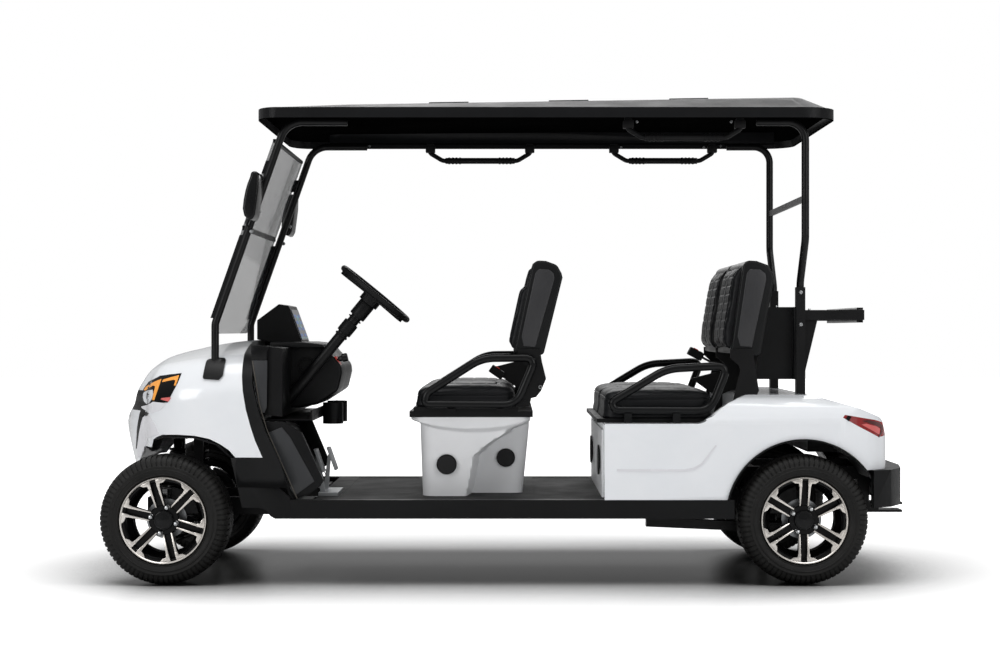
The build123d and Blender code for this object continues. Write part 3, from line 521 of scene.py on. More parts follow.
def rubberFinish():
    # tyre rubber: a brownish black with fine grain and road dust in patches
    made, tree, shader, where = blankMaterial("tyreRubber")
    tone = groupNode(tree, cloudGroup, Scale=7.0, Low=0.0, High=1.0)
    gloss = groupNode(tree, cloudGroup, Scale=16.0, Low=0.5, High=0.68)
    grain = groupNode(tree, grainGroup, Scale=700, Strength=0.35, Depth=0.0004)
    for target in (tone, gloss, grain):
        wire(tree, where, target.inputs["Vector"])
    colour = mixColours(tree, tone.outputs["Value"], linear("0B0B0A"), linear("151413"))
    wire(tree, colour, shader.inputs["Base Color"])
    wire(tree, gloss.outputs["Value"], shader.inputs["Roughness"])
    wire(tree, grain.outputs["Normal"], shader.inputs["Normal"])
    shader.inputs["Specular IOR Level"].default_value = 0.26
    return made


def vinylFinish(name="seatVinyl", colours=("0E0F11", "16171A")):
    # pebbled seat vinyl, the valleys between its cells darkened as painted shade
    made, tree, shader, where = blankMaterial(name)
    tone = groupNode(tree, cloudGroup, Scale=6.0, Low=0.0, High=1.0)
    gloss = groupNode(tree, cloudGroup, Scale=12.0, Low=0.36, High=0.5)
    grain = groupNode(tree, grainGroup, Scale=420, Strength=0.45, Depth=0.0005)
    for target in (tone, gloss, grain):
        wire(tree, where, target.inputs["Vector"])
    colour = mixColours(tree, tone.outputs["Value"], linear(colours[0]), linear(colours[1]))
    # painted shade: the grain's valleys take the darker colour
    colour = mixColours(tree, grain.outputs["Valley"], linear(colours[0]), colour)
    wire(tree, colour, shader.inputs["Base Color"])
    wire(tree, gloss.outputs["Value"], shader.inputs["Roughness"])
    wire(tree, grain.outputs["Normal"], shader.inputs["Normal"])
    shader.inputs["Specular IOR Level"].default_value = 0.2
    shader.inputs["Sheen Weight"].default_value = 0.01
    return made


def glassFinish(name, colour, rough, alphaLow, alphaHigh, glow=None):
    # clear or tinted plastic, a little hazy in patches
    made, tree, shader, where = blankMaterial(name)
    haze = groupNode(tree, cloudGroup, Scale=5.0, Low=rough, High=rough + 0.05)
    film = groupNode(tree, cloudGroup, Scale=3.0, Low=alphaLow, High=alphaHigh)
    for target in (haze, film):
        wire(tree, where, target.inputs["Vector"])
    wire(tree, haze.outputs["Value"], shader.inputs["Roughness"])
    wire(tree, film.outputs["Value"], shader.inputs["Alpha"])
    shader.inputs["Base Color"].default_value = linear(colour)
    shader.inputs["Coat Weight"].default_value = 0.5
    if glow:
        shader.inputs["Emission Color"].default_value = linear(glow[0])
        shader.inputs["Emission Strength"].default_value = glow[1]
    return made


finish["tyreRubber"] = rubberFinish()
finish["seatVinyl"] = vinylFinish()
finish["windshield"] = glassFinish("windshieldTint", "55585B", 0.03, 0.58, 0.62)
finish["windshieldFlange"] = glassFinish("windshieldFlange", "3A3C3F", 0.04, 0.62, 0.68)
finish["screenDark"] = glassFinish("screenDark", "060C18", 0.12, 1.0, 1.0, ("0C2040", 0.25))
finish["screenBlue"] = glassFinish("screenBlue", "1C467C", 0.1, 1.0, 1.0, ("2F6FC4", 0.4))
finish["screenWhite"] = glassFinish("screenWhite", "7FA8A8", 0.1, 1.0, 1.0, ("7FC0C8", 0.5))
finish["mirrorGlass"] = finishOf("mirrorGlass", {"colour": ("D9DCDF", "E2E4E6"), "rough": (0.02, 0.05),
                                                 "grain": (200, 0.01, 0.0001), "metal": 1.0})
print("finishes made:", len(finish))

# floor and background; the floor carries a painted shadow under and round the cart
def studioFloor():
    bpy.ops.mesh.primitive_plane_add(size=60, location=(0, 0, 0))
    floor = bpy.context.object
    floor.name = "studioFloor"
    made, tree, shader, where = blankMaterial("floorWhite")
    tone = groupNode(tree, cloudGroup, Scale=0.6, Low=0.0, High=1.0)
    wire(tree, where, tone.inputs["Vector"])
    colour = mixColours(tree, tone.outputs["Value"], linear("F7F7F7"), linear("FAFAFA"))
    # painted shadow: ambient occlusion darkens the floor's own colour to near-black under and beside the cart
    nearness = addNode(tree, "ShaderNodeAmbientOcclusion", samples=12)
    nearness.inputs["Distance"].default_value = 0.75
    paintedShadow = addNode(tree, "ShaderNodeMapRange")
    paintedShadow.inputs["From Min"].default_value = 0.42
    paintedShadow.inputs["From Max"].default_value = 0.97
    wire(tree, nearness.outputs["AO"], paintedShadow.inputs["Value"])
    colour = mixColours(tree, paintedShadow.outputs["Result"], linear("1A1A1B"), colour)
    wire(tree, colour, shader.inputs["Base Color"])
    shader.inputs["Roughness"].default_value = 0.3
    shader.inputs["Specular IOR Level"].default_value = 0.2
    # the floor seen by the camera glows white far from the cart, and less near it: painted shadow round the
    # cart
    rays = addNode(tree, "ShaderNodeLightPath")
    seen = addNode(tree, "ShaderNodeMath", operation="MAXIMUM")
    lift = addNode(tree, "ShaderNodeMath", operation="MULTIPLY")
    stretch = addNode(tree, "ShaderNodeMapping")
    stretch.inputs["Scale"].default_value = (0.55, 1.0, 1.0)
    reach = addNode(tree, "ShaderNodeVectorMath", operation="LENGTH")
    paintedShadowFade = addNode(tree, "ShaderNodeMapRange")
    for label, value in (("From Min", 0.95), ("From Max", 2.6), ("To Min", 0.25), ("To Max", 1.0)):
        paintedShadowFade.inputs[label].default_value = value
    wire(tree, where, stretch.inputs["Vector"])
    wire(tree, stretch.outputs["Vector"], reach.inputs[0])
    wire(tree, reach.outputs["Value"], paintedShadowFade.inputs["Value"])
    # painted shadow: the glow is cut both by nearness to the cart and by occlusion
    glow = addNode(tree, "ShaderNodeMath", operation="MULTIPLY")
    wire(tree, paintedShadowFade.outputs["Result"], glow.inputs[0])
    wire(tree, paintedShadow.outputs["Result"], glow.inputs[1])
    wire(tree, glow.outputs[0], lift.inputs[1])
    wire(tree, rays.outputs["Is Camera Ray"], seen.inputs[0])
    wire(tree, rays.outputs["Is Transmission Ray"], seen.inputs[1])
    wire(tree, seen.outputs[0], lift.inputs[0])
    shader.inputs["Emission Color"].default_value = (1, 1, 1, 1)
    wire(tree, lift.outputs[0], shader.inputs["Emission Strength"])
    floor.data.materials.append(made)


def studioSky():
    world = scene.world or bpy.data.worlds.new("studioSky")
    scene.world = world
    world.use_nodes = True
    tree = world.node_tree
    tree.nodes.clear()
    rays = addNode(tree, "ShaderNodeLightPath")
    spot = addNode(tree, "ShaderNodeTexCoord")
    split = addNode(tree, "ShaderNodeSeparateXYZ")
    rise = addNode(tree, "ShaderNodeMapRange")
    rise.inputs["From Min"].default_value = -0.1
    rise.inputs["From Max"].default_value = 0.7
    rise.inputs["To Min"].default_value = 0.2
    rise.inputs["To Max"].default_value = 0.85
    wire(tree, spot.outputs["Generated"], split.inputs["Vector"])
    wire(tree, split.outputs["Z"], rise.inputs["Value"])
    shine = addNode(tree, "ShaderNodeMix", data_type="FLOAT")
    shine.inputs[2].default_value = 0.47
    wire(tree, rays.outputs["Is Glossy Ray"], shine.inputs[0])
    wire(tree, rise.outputs["Result"], shine.inputs[3])
    seen = addNode(tree, "ShaderNodeMath", operation="MAXIMUM")
    wire(tree, rays.outputs["Is Camera Ray"], seen.inputs[0])
    wire(tree, rays.outputs["Is Transmission Ray"], seen.inputs[1])
    level = addNode(tree, "ShaderNodeMix", data_type="FLOAT")
    level.inputs[3].default_value = 1.0
    wire(tree, seen.outputs[0], level.inputs[0])
    wire(tree, shine.outputs[0], level.inputs[2])
    backdrop = addNode(tree, "ShaderNodeBackground")
    backdrop.inputs["Color"].default_value = (1, 1, 1, 1)
    wire(tree, level.outputs[0], backdrop.inputs["Strength"])
    out = addNode(tree, "ShaderNodeOutputWorld")
    wire(tree, backdrop.outputs[0], out.inputs["Surface"])


studioFloor()
studioSky()

# the frame's own shapes, with joined faces, soft edges and their finish
dressing = {
    # node: finish, edge radius in metres, smoothing angle
    "front_cowl": ("bodyPaint", 0.0, 40), "rear_body": ("bodyPaint", 0.0, 40),
    "front_seat_pod": ("podPlastic", 0.0, 35), "rear_seat_panel": ("podPlastic", 0.002, 35),
    "roof_canopy": ("roofSkin", 0.0, 35), "floor_deck": ("floorMat", 0.0015, 35),
    "nose_trim": ("lampBlack", 0.0, 40), "tow_hitch": ("framePaint", 0.0015, 35),
    "instrument_display": ("blackTrim", 0.003, 35), "battery_pack": ("blackTrim", 0.003, 35),
    "drive_motor": ("castIron", 0.003, 35), "rear_axle": ("castIron", 0.0, 35),
    "steering_rack_and_tie_rods": ("discSteel", 0.0, 35), "steering_rack_housing": ("castIron", 0.0, 35),
    "front_left_knuckle": ("castIron", 0.0, 35), "front_right_knuckle": ("castIron", 0.0, 35),
    "pedals": ("padAluminium", 0.0015, 35), "steering_wheel": ("gripRubber", 0.0, 35),
    "windshield_panes": ("windshield", 0.0, 35), "headlamps": ("lampBlack", 0.0, 40),
    "tail_lamps": ("tailRed", 0.0, 40), "coil_over_shocks": ("framePaint", 0.0, 35),
}
ownMade = {"seat_cushions", "seat_backs", "seat_back_brackets", "armrests", "side_mirrors", "front_seat_pod",
           "speaker_grilles",
           "dashboard"} | {n for n in cadNodes if n.endswith("_tyre") or n.endswith("_rim")}
slotFinish = {"black_plastic": "blackTrim", "black_frame_paint": "framePaint"}


def evenNormals(piece):
    # large faces lead the shading, so long thin triangles don't show
    leader = piece.modifiers.new("evenNormals", "WEIGHTED_NORMAL")
    leader.weight = 70
    leader.keep_sharp = True
    applyAll(piece)


def skinOf(node, edge=0.0, degrees=35):
    # a copy of the node's mesh with its loose triangles joined up
    made = copyOf(cadNodes[node], node + "_skin")
    editAll(made)
    bpy.ops.mesh.remove_doubles(threshold=0.00001)
    if edge:
        bpy.ops.mesh.select_all(action="SELECT")
        bpy.ops.mesh.dissolve_limited(angle_limit=math.radians(0.6))
    editDone()
    if edge:
        roundEdges(made, edge, 2, 40)
    return made


def ramp(value, low, high):
    # an eased step from 0 to 1
    t = min(max((value - low) / (high - low), 0), 1)
    return t * t * (3 - 2 * t)


bow = {"start": -1.37, "full": -1.5, "depth": 0.036, "halfWidth": 0.2, "outer": (0.40, 0.54)}


def bowNose(piece):
    # the nose curves back to either side of its middle, and draws in above and below its widest line
    for point in piece.data.vertices:
        x, y, z = point.co.x, abs(point.co.y), point.co.z
        side = ramp(y, 0.0, bow["halfWidth"]) * (1 - ramp(y, *bow["outer"]))
        ahead = ramp(-x, -bow["start"], -bow["full"])
        tuck = 0.015 * ramp(z, 0.64, 0.70) * (1 - ramp(z, 0.80, 0.88)) + 0.16 * max(0, 0.585 - z)
        point.co.x = x + bow["depth"] * side * ahead + tuck * ramp(-x, 1.45, 1.55)


def setFeet(piece):
    # the feet of the front posts reach back under them
    for point in piece.data.vertices:
        x, y, z = point.co
        if z < 0.886 and math.hypot(x + 1.174, abs(y) - 0.5) > 0.0156:
            point.co.x = x + 0.019


def drawRoofIn(piece):
    # the roof's front edge stops short of the full length
    for point in piece.data.vertices:
        if point.co.x < -0.90:
            point.co.x = -0.90 + (point.co.x + 0.90) * 0.66


def tuckScreen(piece):
    # the foot of the windshield tucks in behind the posts
    for point in piece.data.vertices:
        point.co.x += 0.026 * (1 - ramp(point.co.z, 0.975, 1.35))


def drawToeIn(piece):
    # the toe board lies close behind the footwell's cheeks
    for point in piece.data.vertices:
        point.co.x -= 0.075


reshaped = {"front_cowl": bowNose, "nose_trim": bowNose, "headlamps": bowNose, "front_posts": setFeet,
            "roof_canopy": drawRoofIn, "windshield_panes": tuckScreen, "toe_board": drawToeIn}
skins = {}
for node in sorted(cadNodes):
    if node in ownMade:
        continue
    look, edge, degrees = dressing.get(node, (slotFinish.get(slotOf[node], "blackTrim"), 0.0, 35))
    skin = skinOf(node, edge, degrees)
    if node in reshaped:
        reshaped[node](skin)
    smoothBy(skin, degrees)
    evenNormals(skin)
    skins[node] = place(skin, finish[look], bodyOf[node], [node])
print("frame dressed:", len(skins))

# wheels
wheelSpec = {"radius": 0.2525, "halfWidth": 0.104, "steps": 216, "groovesEvery": 3, "grooveDepth": 0.0045}
wheelPlaces = {
    # corner: the wheel's centre
    corner: ((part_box(corner + "_tyre")[0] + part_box(corner + "_tyre")[1]) / 2)
    for corner in ("front_left", "front_right", "rear_left", "rear_right")
}
tyreSide = [
    # radius, distance from the wheel's middle; from the bead outwards and over to the tread's middle
    (0.1532, 0.0835), (0.1712, 0.0895), (0.1735, 0.0940), (0.1765, 0.0975), (0.1795, 0.0968),
    (0.1820, 0.0985), (0.1900, 0.1012), (0.1940, 0.1022), (0.1955, 0.1038), (0.1985, 0.1038),
    (0.2000, 0.1024), (0.2060, 0.1026), (0.2075, 0.1034), (0.2110, 0.1034), (0.2125, 0.1022),
    (0.2200, 0.1010), (0.2290, 0.0978), (0.2370, 0.0920), (0.2435, 0.0840), (0.2480, 0.0740),
    (0.2505, 0.0620), (0.2516, 0.0500), (0.2520, 0.0405), (0.2455, 0.0395), (0.2455, 0.0335),
    (0.2522, 0.0325), (0.2525, 0.0120), (0.2460, 0.0110), (0.2460, 0.0060), (0.2525, 0.0050),
]


def tyreShape():
    radius = wheelSpec["radius"]
    half = [(r, w) for r, w in tyreSide]
    outlinePoints = half + [(r, -w) for r, w in reversed(half)]
    made = lathe("tyreShape", [(r, -w, 0) for r, w in outlinePoints], (0, 0, 0), (0, 1, 0),
                 wheelSpec["steps"])
    stepAngle = 2 * math.pi / wheelSpec["steps"]

    def inGroove(centre, normal):
        reach = math.hypot(centre.x, centre.z)
        turn = int(round((math.atan2(centre.z, centre.x) % (2 * math.pi)) / stepAngle - 0.5))
        return turn % wheelSpec["groovesEvery"] == 0 and reach > 0.215 and abs(centre.y) > 0.045

    editFaces(made, inGroove)
    bpy.ops.mesh.extrude_region_shrink_fatten(TRANSFORM_OT_shrink_fatten={"value": -wheelSpec["grooveDepth"]})
    editDone()
    smoothBy(made, 30)
    return made


tyre = tyreShape()
for corner, centre in wheelPlaces.items():
    made = copyOf(tyre, corner + "_tyre_dressed", centre)
    place(made, finish["tyreRubber"], bodyOf[corner + "_tyre"], [corner + "_tyre"])
bpy.data.objects.remove(tyre)


rimSpec = {
    "pairs": 6, "lugs": 4, "lugCircle": 0.0508, "discRadius": 0.078,
    "turn": {"front": -15, "rear": 1}, "faceOut": 0.093, "hubFaceOut": 0.074, "backOut": 0.058,
}
barrelSide = [
    # radius and distance outwards of the barrel, once round its section
    (0.1522, -0.084), (0.1690, -0.086), (0.1697, -0.094), (0.1660, -0.097), (0.1480, -0.094),
    (0.1460, -0.050), (0.1310, -0.032), (0.1310, 0.020), (0.1455, 0.040), (0.1475, 0.072), (0.1560, 0.082),
    (0.1600, 0.089), (0.1615, 0.0945), (0.1640, 0.0968), (0.1672, 0.0966), (0.1692, 0.0940),
    (0.1697, 0.0890), (0.1690, 0.0860), (0.1522, 0.084), (0.1522, 0.046), (0.1360, 0.028), (0.1360, -0.038),
    (0.1522, -0.058),
]
flareSide = [(0.130, 0.0118), (0.130, 0.0225), (0.1425, 0.0250), (0.1435, 0.0400), (0.1522, 0.0536),
             (0.1569, 0.0362), (0.1598, 0.0225), (0.1611, 0.0118)]
barSide = [(0.054, 0.0127), (0.054, 0.0190), (0.130, 0.0225), (0.130, 0.0118)]


def spokeBar(flipped):
    # one bar that slopes in to the hub, and its flared end at the ring
    side = -1 if flipped else 1
    parts = []
    for name, outlinePoints in (("flare", flareSide), ("bar", barSide)):
        points = [(b * side, -rimSpec["backOut"], a) for a, b in outlinePoints]
        made = slab(name, points, (0, rimSpec["backOut"] - rimSpec["faceOut"], 0))
        if name == "bar":
            for point in made.data.vertices:
                if point.co.z < 0.1 and point.co.y < -rimSpec["backOut"] - 0.001:
                    point.co.y = -rimSpec["hubFaceOut"]
        roundEdges(made, 0.0009, 2, 30)
        parts.append(made)
    return parts


def rimShape():
    # a left wheel's alloy about the origin, outside towards -Y, with one material index for each finish
    barrel = lathe("barrel", [(r, -out, 0) for r, out in barrelSide], (0, 0, 0), (0, 1, 0), 96)
    spokes = []
    for flipped in (False, True):
        spokes += spokeBar(flipped)
    web = slab("web", [(-0.0135, -0.050, 0.045), (0.0135, -0.050, 0.045), (0.0125, -0.050, 0.157),
                       (-0.0125, -0.050, 0.157)], (0, -0.016, 0))
    spokes.append(web)
    pair = joined("spokePair", spokes)
    pairs = [pair]
    for i in range(1, rimSpec["pairs"]):
        made = copyOf(pair, "spokePair")
        made.data.transform(Matrix.Rotation(math.radians(60 * i), 4, "Y"))
        pairs.append(made)
    hub = lathe("hub", [(0.0001, -0.044, 0), (0.052, -0.044, 0), (0.060, -0.052, 0), (0.060, -0.064, 0),
                        (0.056, -0.0695, 0), (0.0001, -0.071, 0)], (0, 0, 0), (0, 1, 0), 64)
    cap = lathe("hubCap", [(0.0001, -0.070, 0), (0.0385, -0.070, 0), (0.0385, -0.082, 0),
                           (0.0360, -0.0855, 0), (0.0330, -0.0862, 0), (0.0318, -0.0848, 0),
                           (0.0300, -0.0846, 0), (0.0200, -0.0868, 0), (0.0001, -0.0880, 0)], (0, 0, 0),
                (0, 1, 0), 64)
    lugs = []
    for i in range(rimSpec["lugs"]):
        nut = lathe("lugNut", [(0.0001, -0.066, 0), (0.0105, -0.066, 0), (0.0105, -0.0745, 0),
                               (0.0088, -0.0765, 0), (0.0085, -0.0860, 0), (0.0066, -0.0905, 0),
                               (0.0001, -0.0925, 0)],
                    (0, 0, 0), (0, 1, 0), 12)
        nut.data.transform(Matrix.Translation((0, 0, rimSpec["lugCircle"])))
        nut.data.transform(Matrix.Rotation(math.radians(30 + 90 * i), 4, "Y"))
        lugs.append(nut)
    disc = lathe("brakeDisc", [(0.030, -0.012, 0), (rimSpec["discRadius"], -0.012, 0),
                               (rimSpec["discRadius"], -0.004, 0), (0.030, -0.004, 0)], (0, 0, 0),
                 (0, 1, 0), 96)
    drumPart = lathe("hubBarrel", [(0.0001, 0.012, 0), (0.048, 0.012, 0), (0.048, -0.046, 0),
                                   (0.0001, -0.046, 0)],
                     (0, 0, 0), (0, 1, 0), 48)
    bolts = joined("lugNuts", lugs)
    groups = [(barrel, 1), (hub, 1), (cap, 2), (bolts, 4), (disc, 3),
              (drumPart, 5)] + [(one, 1) for one in pairs]
    for piece, kind in groups:
        piece.data.materials.clear()
        for one in rimFinishes:
            piece.data.materials.append(finish[one])
        for face in piece.data.polygons:
            reach = math.hypot(face.center.x, face.center.z)
            facing = -face.normal.y
            face.material_index = kind
            if piece is barrel and reach > 0.1600 and face.center.y < -0.088:
                face.material_index = 0
            if piece in pairs and facing > 0.9 and face.center.y < -0.070:
                face.material_index = 0
    whole = joined("rimShape", [piece for piece, kind in groups])
    smoothBy(whole, 32)
    return whole


rimFinishes = ["turnedAlloy", "alloyPaint", "glossTrim", "discSteel", "zincBolt", "castIron"]
rim = rimShape()
for corner, centre in wheelPlaces.items():
    made = copyOf(rim, corner + "_rim_dressed")
    made.data.transform(Matrix.Rotation(math.radians(rimSpec["turn"][corner.split("_")[0]]), 4, "Y"))
    if centre.y > 0:
        flipAcross(made)
    made.data.transform(Matrix.Translation(centre))
    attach(made, bodyOf[corner + "_rim"])
    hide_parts(corner + "_rim")
bpy.data.objects.remove(rim)
print("wheels done")

# seats
seatSpec = {"inner": 0.021, "outer": 0.487, "voxel": 0.007, "quickVoxel": 0.012, "frames": 20,
            "pressure": 4.0, "pipe": 0.0032}
seatRows = {
    "front": {"x": (-0.390, 0.008), "z": (0.689, 0.752), "shift": (0.0, 0.0), "crown": 0.022},
    "rear": {"x": (0.350, 0.782), "z": (0.644, 0.737), "shift": (0.854, -0.026), "crown": 0.018},
}
# side outlines of a back's shell and its front pad, x and z in metres
shellSide = [(-0.004, 0.897), (0.100, 0.889), (0.116, 0.897), (0.190, 1.196), (0.186, 1.214), (0.168, 1.246),
             (0.125, 1.262), (0.090, 1.264), (0.072, 1.250), (0.056, 1.180), (0.010, 0.960)]
padSides = {
    "front": [(-0.010, 0.912), (-0.015, 0.934), (0.030, 1.140), (0.036, 1.150), (0.050, 1.158),
              (0.068, 1.236), (0.084, 1.252), (0.112, 1.250), (0.086, 1.130), (0.034, 0.905)],
    "rear": [(-0.010, 0.912), (-0.016, 0.934), (-0.004, 1.010), (0.026, 1.140), (0.044, 1.205),
             (0.064, 1.240), (0.084, 1.254), (0.112, 1.250), (0.086, 1.130), (0.034, 0.905)],
}
panelSide = [(0.036, 0.925), (0.082, 0.922), (0.158, 1.190), (0.156, 1.212), (0.136, 1.228), (0.096, 1.230),
             (0.082, 1.214), (0.068, 1.150), (0.028, 0.965)]


def rowPoint(row, x, z):
    # a front row outline point carried to its row, whose back stands a little more upright
    shift, lean = seatRows[row]["shift"]
    return x + shift + lean * (z - 0.89) / 0.375, z


def inflate(piece, cap, hold):
    # swells a pad by cloth pressure, its movement capped and weighed by hold(point)
    pickOnly(piece)
    remesh = piece.modifiers.new("voxels", "REMESH")
    remesh.mode = "VOXEL"
    remesh.voxel_size = seatSpec["voxel"]
    applyAll(piece)
    rest = [point.co.copy() for point in piece.data.vertices]
    pickOnly(piece)
    bpy.ops.object.modifier_add(type="CLOTH")
    swell = piece.modifiers[-1]
    swell.settings.quality = 4
    swell.settings.use_pressure = True
    swell.settings.uniform_pressure_force = seatSpec["pressure"]
    swell.settings.effector_weights.gravity = 0
    swell.point_cache.frame_start = 1
    swell.point_cache.frame_end = seatSpec["frames"]
    for step in range(1, seatSpec["frames"] + 1):
        scene.frame_set(step)
    posed = piece.evaluated_get(bpy.context.evaluated_depsgraph_get())
    swollen = [point.co.copy() for point in posed.data.vertices]
    piece.modifiers.remove(swell)
    scene.frame_set(1)
    for point, start, end in zip(piece.data.vertices, rest, swollen):
        move = end - start
        if move.length > cap:
            move.length = cap
        point.co = start + move * hold(start)
    softer = piece.modifiers.new("softer", "SUBSURF")
    softer.levels = softer.render_levels = 1
    applyAll(piece)
    return piece


def pressSeams(piece, depthAt):
    # sewn channels: each point sinks along its own normal by depthAt(point, normal)
    for point in piece.data.vertices:
        depth = depthAt(point.co, point.normal)
        if depth > 0.00002:
            point.co = point.co - point.normal * depth


def groove(distance, depth, width):
    return depth * math.exp(-(distance / width) ** 2)


def bevelPicked(piece, test, offset, segments):
    # bevels the edges whose two ends pass the test
    pickOnly(piece)
    bpy.ops.object.mode_set(mode="EDIT")
    bpy.ops.mesh.select_mode(type="EDGE")
    bpy.ops.mesh.select_all(action="DESELECT")
    bpy.ops.object.mode_set(mode="OBJECT")
    for edge in piece.data.edges:
        a, b = (piece.data.vertices[i].co for i in edge.vertices)
        edge.select = test(a, b)
    bpy.ops.object.mode_set(mode="EDIT")
    bpy.ops.mesh.bevel(offset=offset, segments=segments, affect="EDGES")
    editDone()


def roundBrick(name, low, high, corner, top):
    # a block with rounded upright corners and a softer top edge
    made = brick(name, low, high)
    lip = high[2] - 0.0001
    bevelPicked(made, lambda a, b: abs(a.z - b.z) > 0.01, corner, 5)
    bevelPicked(made, lambda a, b: a.z > lip and b.z > lip, top, 4)
    return made


def pipingRound(piece, name, centre, height, count=96):
    # a thin welt that follows the pad's own side at one height
    points = []
    for i in range(count):
        turn = 2 * math.pi * i / count
        away = Vector((math.cos(turn), math.sin(turn), 0))
        start = Vector((centre[0], centre[1], height)) + away
        hit, spot, normal, _ = piece.ray_cast(start, -away)
        if hit:
            points.append(spot + normal * 0.0012)
    welt = pipe(name, points, seatSpec["pipe"], 0.004, closed=True)
    return welt


def cushionShape(row):
    (x0, x1), (z0, z1) = seatRows[row]["x"], seatRows[row]["z"]
    y0, y1 = -seatSpec["outer"], -seatSpec["inner"]
    made = roundBrick(row + "CushionShape", (x0, y0, z0), (x1, y1, z1), 0.042, 0.018)
    inflate(made, 0.008, lambda p: ramp(p.z, z0 + 0.006, z0 + 0.03))
    midX, midY = (x0 + x1) / 2, (y0 + y1) / 2
    halfX, halfY = (x1 - x0) / 2, (y1 - y0) / 2
    for point in made.data.vertices:
        u, v = (point.co.x - midX) / halfX, (point.co.y - midY) / halfY
        rise = seatRows[row]["crown"] * max(0, 1 - u ** 4) * max(0, 1 - v ** 4)
        point.co.z += rise * ramp(point.co.z, z0 + 0.03, z1)
    seamHeight = z1 - 0.016

    def depthAt(spot, normal):
        u, v = abs(spot.x - midX), abs(spot.y - midY)
        depth = groove(spot.z - seamHeight, 0.0035, 0.005) * ramp(1 - abs(normal.z), 0.3, 0.7)
        if normal.z > 0.5:
            inside = max(u - (halfX - 0.075), v - (halfY - 0.085))
            depth += groove(inside, 0.0042, 0.006)
            if inside < 0:
                depth += groove(((spot.x - x0) % 0.062) - 0.031, 0.0016, 0.0045)
        return depth

    pressSeams(made, depthAt)
    smoothBy(made, 60)
    welt = pipingRound(made, row + "CushionWelt", (midX, midY), seamHeight)
    return made, welt


def backShape(row):
    # a hard shell and a quilted pad, returned to be copied; the raised side panel is on the left seat only
    y0, y1 = -seatSpec["outer"] - 0.001, -seatSpec["inner"]
    shellPoints = [rowPoint(row, x, z) for x, z in shellSide]
    shell = slab(row + "BackShell", [(x, y0, z) for x, z in shellPoints], (0, y1 - y0, 0))
    roundEdges(shell, 0.009, 4, 40)
    panelPoints = [rowPoint(row, x, z) for x, z in panelSide]
    panel = slab(row + "SidePanel", [(x, y0 - 0.004, z) for x, z in panelPoints], (0, y1 - y0 + 0.008, 0))
    roundEdges(panel, 0.0035, 3, 40)
    smoothBy(shell, 40)
    smoothBy(panel, 40)
    place(panel, finish["backPanelGrey"], "cart", ["seat_backs"])
    padPoints = [rowPoint(row, x, z) for x, z in padSides[row]]
    pad = slab(row + "BackPad", [(x, y0 + 0.030, z) for x, z in padPoints], (0, y1 - y0 - 0.060, 0))
    roundEdges(pad, 0.010, 3, 40)
    low, high = rowPoint(row, 0.010, 0.905), rowPoint(row, 0.090, 1.25)
    lean = (high[0] - low[0]) / (high[1] - low[1])
    inflate(pad, 0.010, lambda p: 1 - ramp(p.x - (low[0] + lean * (p.z - low[1])), 0.0, 0.02))
    middle, half = (y0 + y1) / 2, (y1 - y0) / 2 - 0.030

    def depthAt(spot, normal):
        if normal.x > -0.4:
            return 0
        across = abs(spot.y - middle)
        depth = groove(across - 0.028, 0.004, 0.006) + groove(across - (half - 0.036), 0.004, 0.006)
        if 0.028 < across < half - 0.036:
            cellY = ((across - 0.028) % 0.034) - 0.017
            cellZ = ((spot.z - 0.93) % 0.034) - 0.017
            depth += 0.0022 * (1 - ramp(0.017 - abs(cellY), 0.0, 0.007)) + 0.0022 * (
                1 - ramp(0.017 - abs(cellZ), 0.0, 0.007))
        return depth

    pressSeams(pad, depthAt)
    smoothBy(pad, 60)
    return shell, pad


for row in seatRows:
    cushion, welt = cushionShape(row)
    shell, pad = backShape(row)
    for made, name, look, node, fill in (
            (cushion, "Cushion", "seatVinyl", "seat_cushions", 0.8),
            (welt, "CushionWelt", "seatVinyl", "seat_cushions", 0),
            (shell, "BackShell", "seatShell", "seat_backs", 0),
            (pad, "BackPad", "seatVinyl", "seat_backs", 0.8)):
        for sideName in ("Left", "Right"):
            piece = copyOf(made, row + sideName + name, mirrored=sideName == "Right")
            place(piece, finish[look], bodyOf[node], [node])
        bpy.data.objects.remove(made)
print("seats done")

# armrests and the plates that carry the backs
armSpec = {"y": 0.514, "radius": 0.0165, "corner": 0.05}
armLines = {
    "front": [(-0.352, 0.700), (0.008, 0.698), (0.086, 0.882), (-0.128, 0.880), (-0.345, 0.742)],
    "rear": [(0.394, 0.677), (0.768, 0.675), (0.838, 0.851), (0.596, 0.838), (0.380, 0.708)],
}
plateSide = [(0.005, 0.690), (0.060, 0.690), (0.066, 0.722), (0.086, 0.727), (0.105, 0.751), (0.125, 0.798),
             (0.109, 0.863), (0.100, 0.915), (0.012, 0.915), (0.013, 0.879), (0.046, 0.850), (0.052, 0.830)]
for row, line in armLines.items():
    arms = []
    for side in (-1, 1):
        arms.append(pipe("arm", [(x, side * armSpec["y"], z) for x, z in line], armSpec["radius"],
                         armSpec["corner"], closed=True))
    arms = joined(row + "Armrests", arms)
    place(arms, finish["glossTrim"], "cart", ["armrests"])
    ahead, drop = (0.0, 0.0) if row == "front" else (0.835, -0.046)
    plates = []
    for y in (-0.4995, -0.0195, 0.0155, 0.4955):
        plate = slab("plate", [(x + ahead, y, z + (drop if z < 0.80 else 0)) for x, z in plateSide],
                     (0, 0.004, 0))
        roundEdges(plate, 0.0006, 1, 40)
        plates.append(plate)
    for side in (-1, 1):
        web = [(-0.092, 0.833), (0.062, 0.872), (0.074, 0.745), (0.030, 0.745)]
        plates.append(slab("web", [(x + ahead, side * 0.010, z + drop) for x, z in web],
                           (0, side * 0.004, 0)))
        for x, z, r in ((0.098, 0.766, 0.011), (0.044, 0.706, 0.008)):
            start = Vector((x + ahead, side * 0.499, z + drop))
            plates.append(drum("pivot", start, start + Vector((0, side * 0.006, 0)), r, 16))
    plates = joined(row + "BackPlates", plates)
    smoothBy(plates, 30)
    place(plates, finish["framePaint"], "cart", ["seat_back_brackets"])

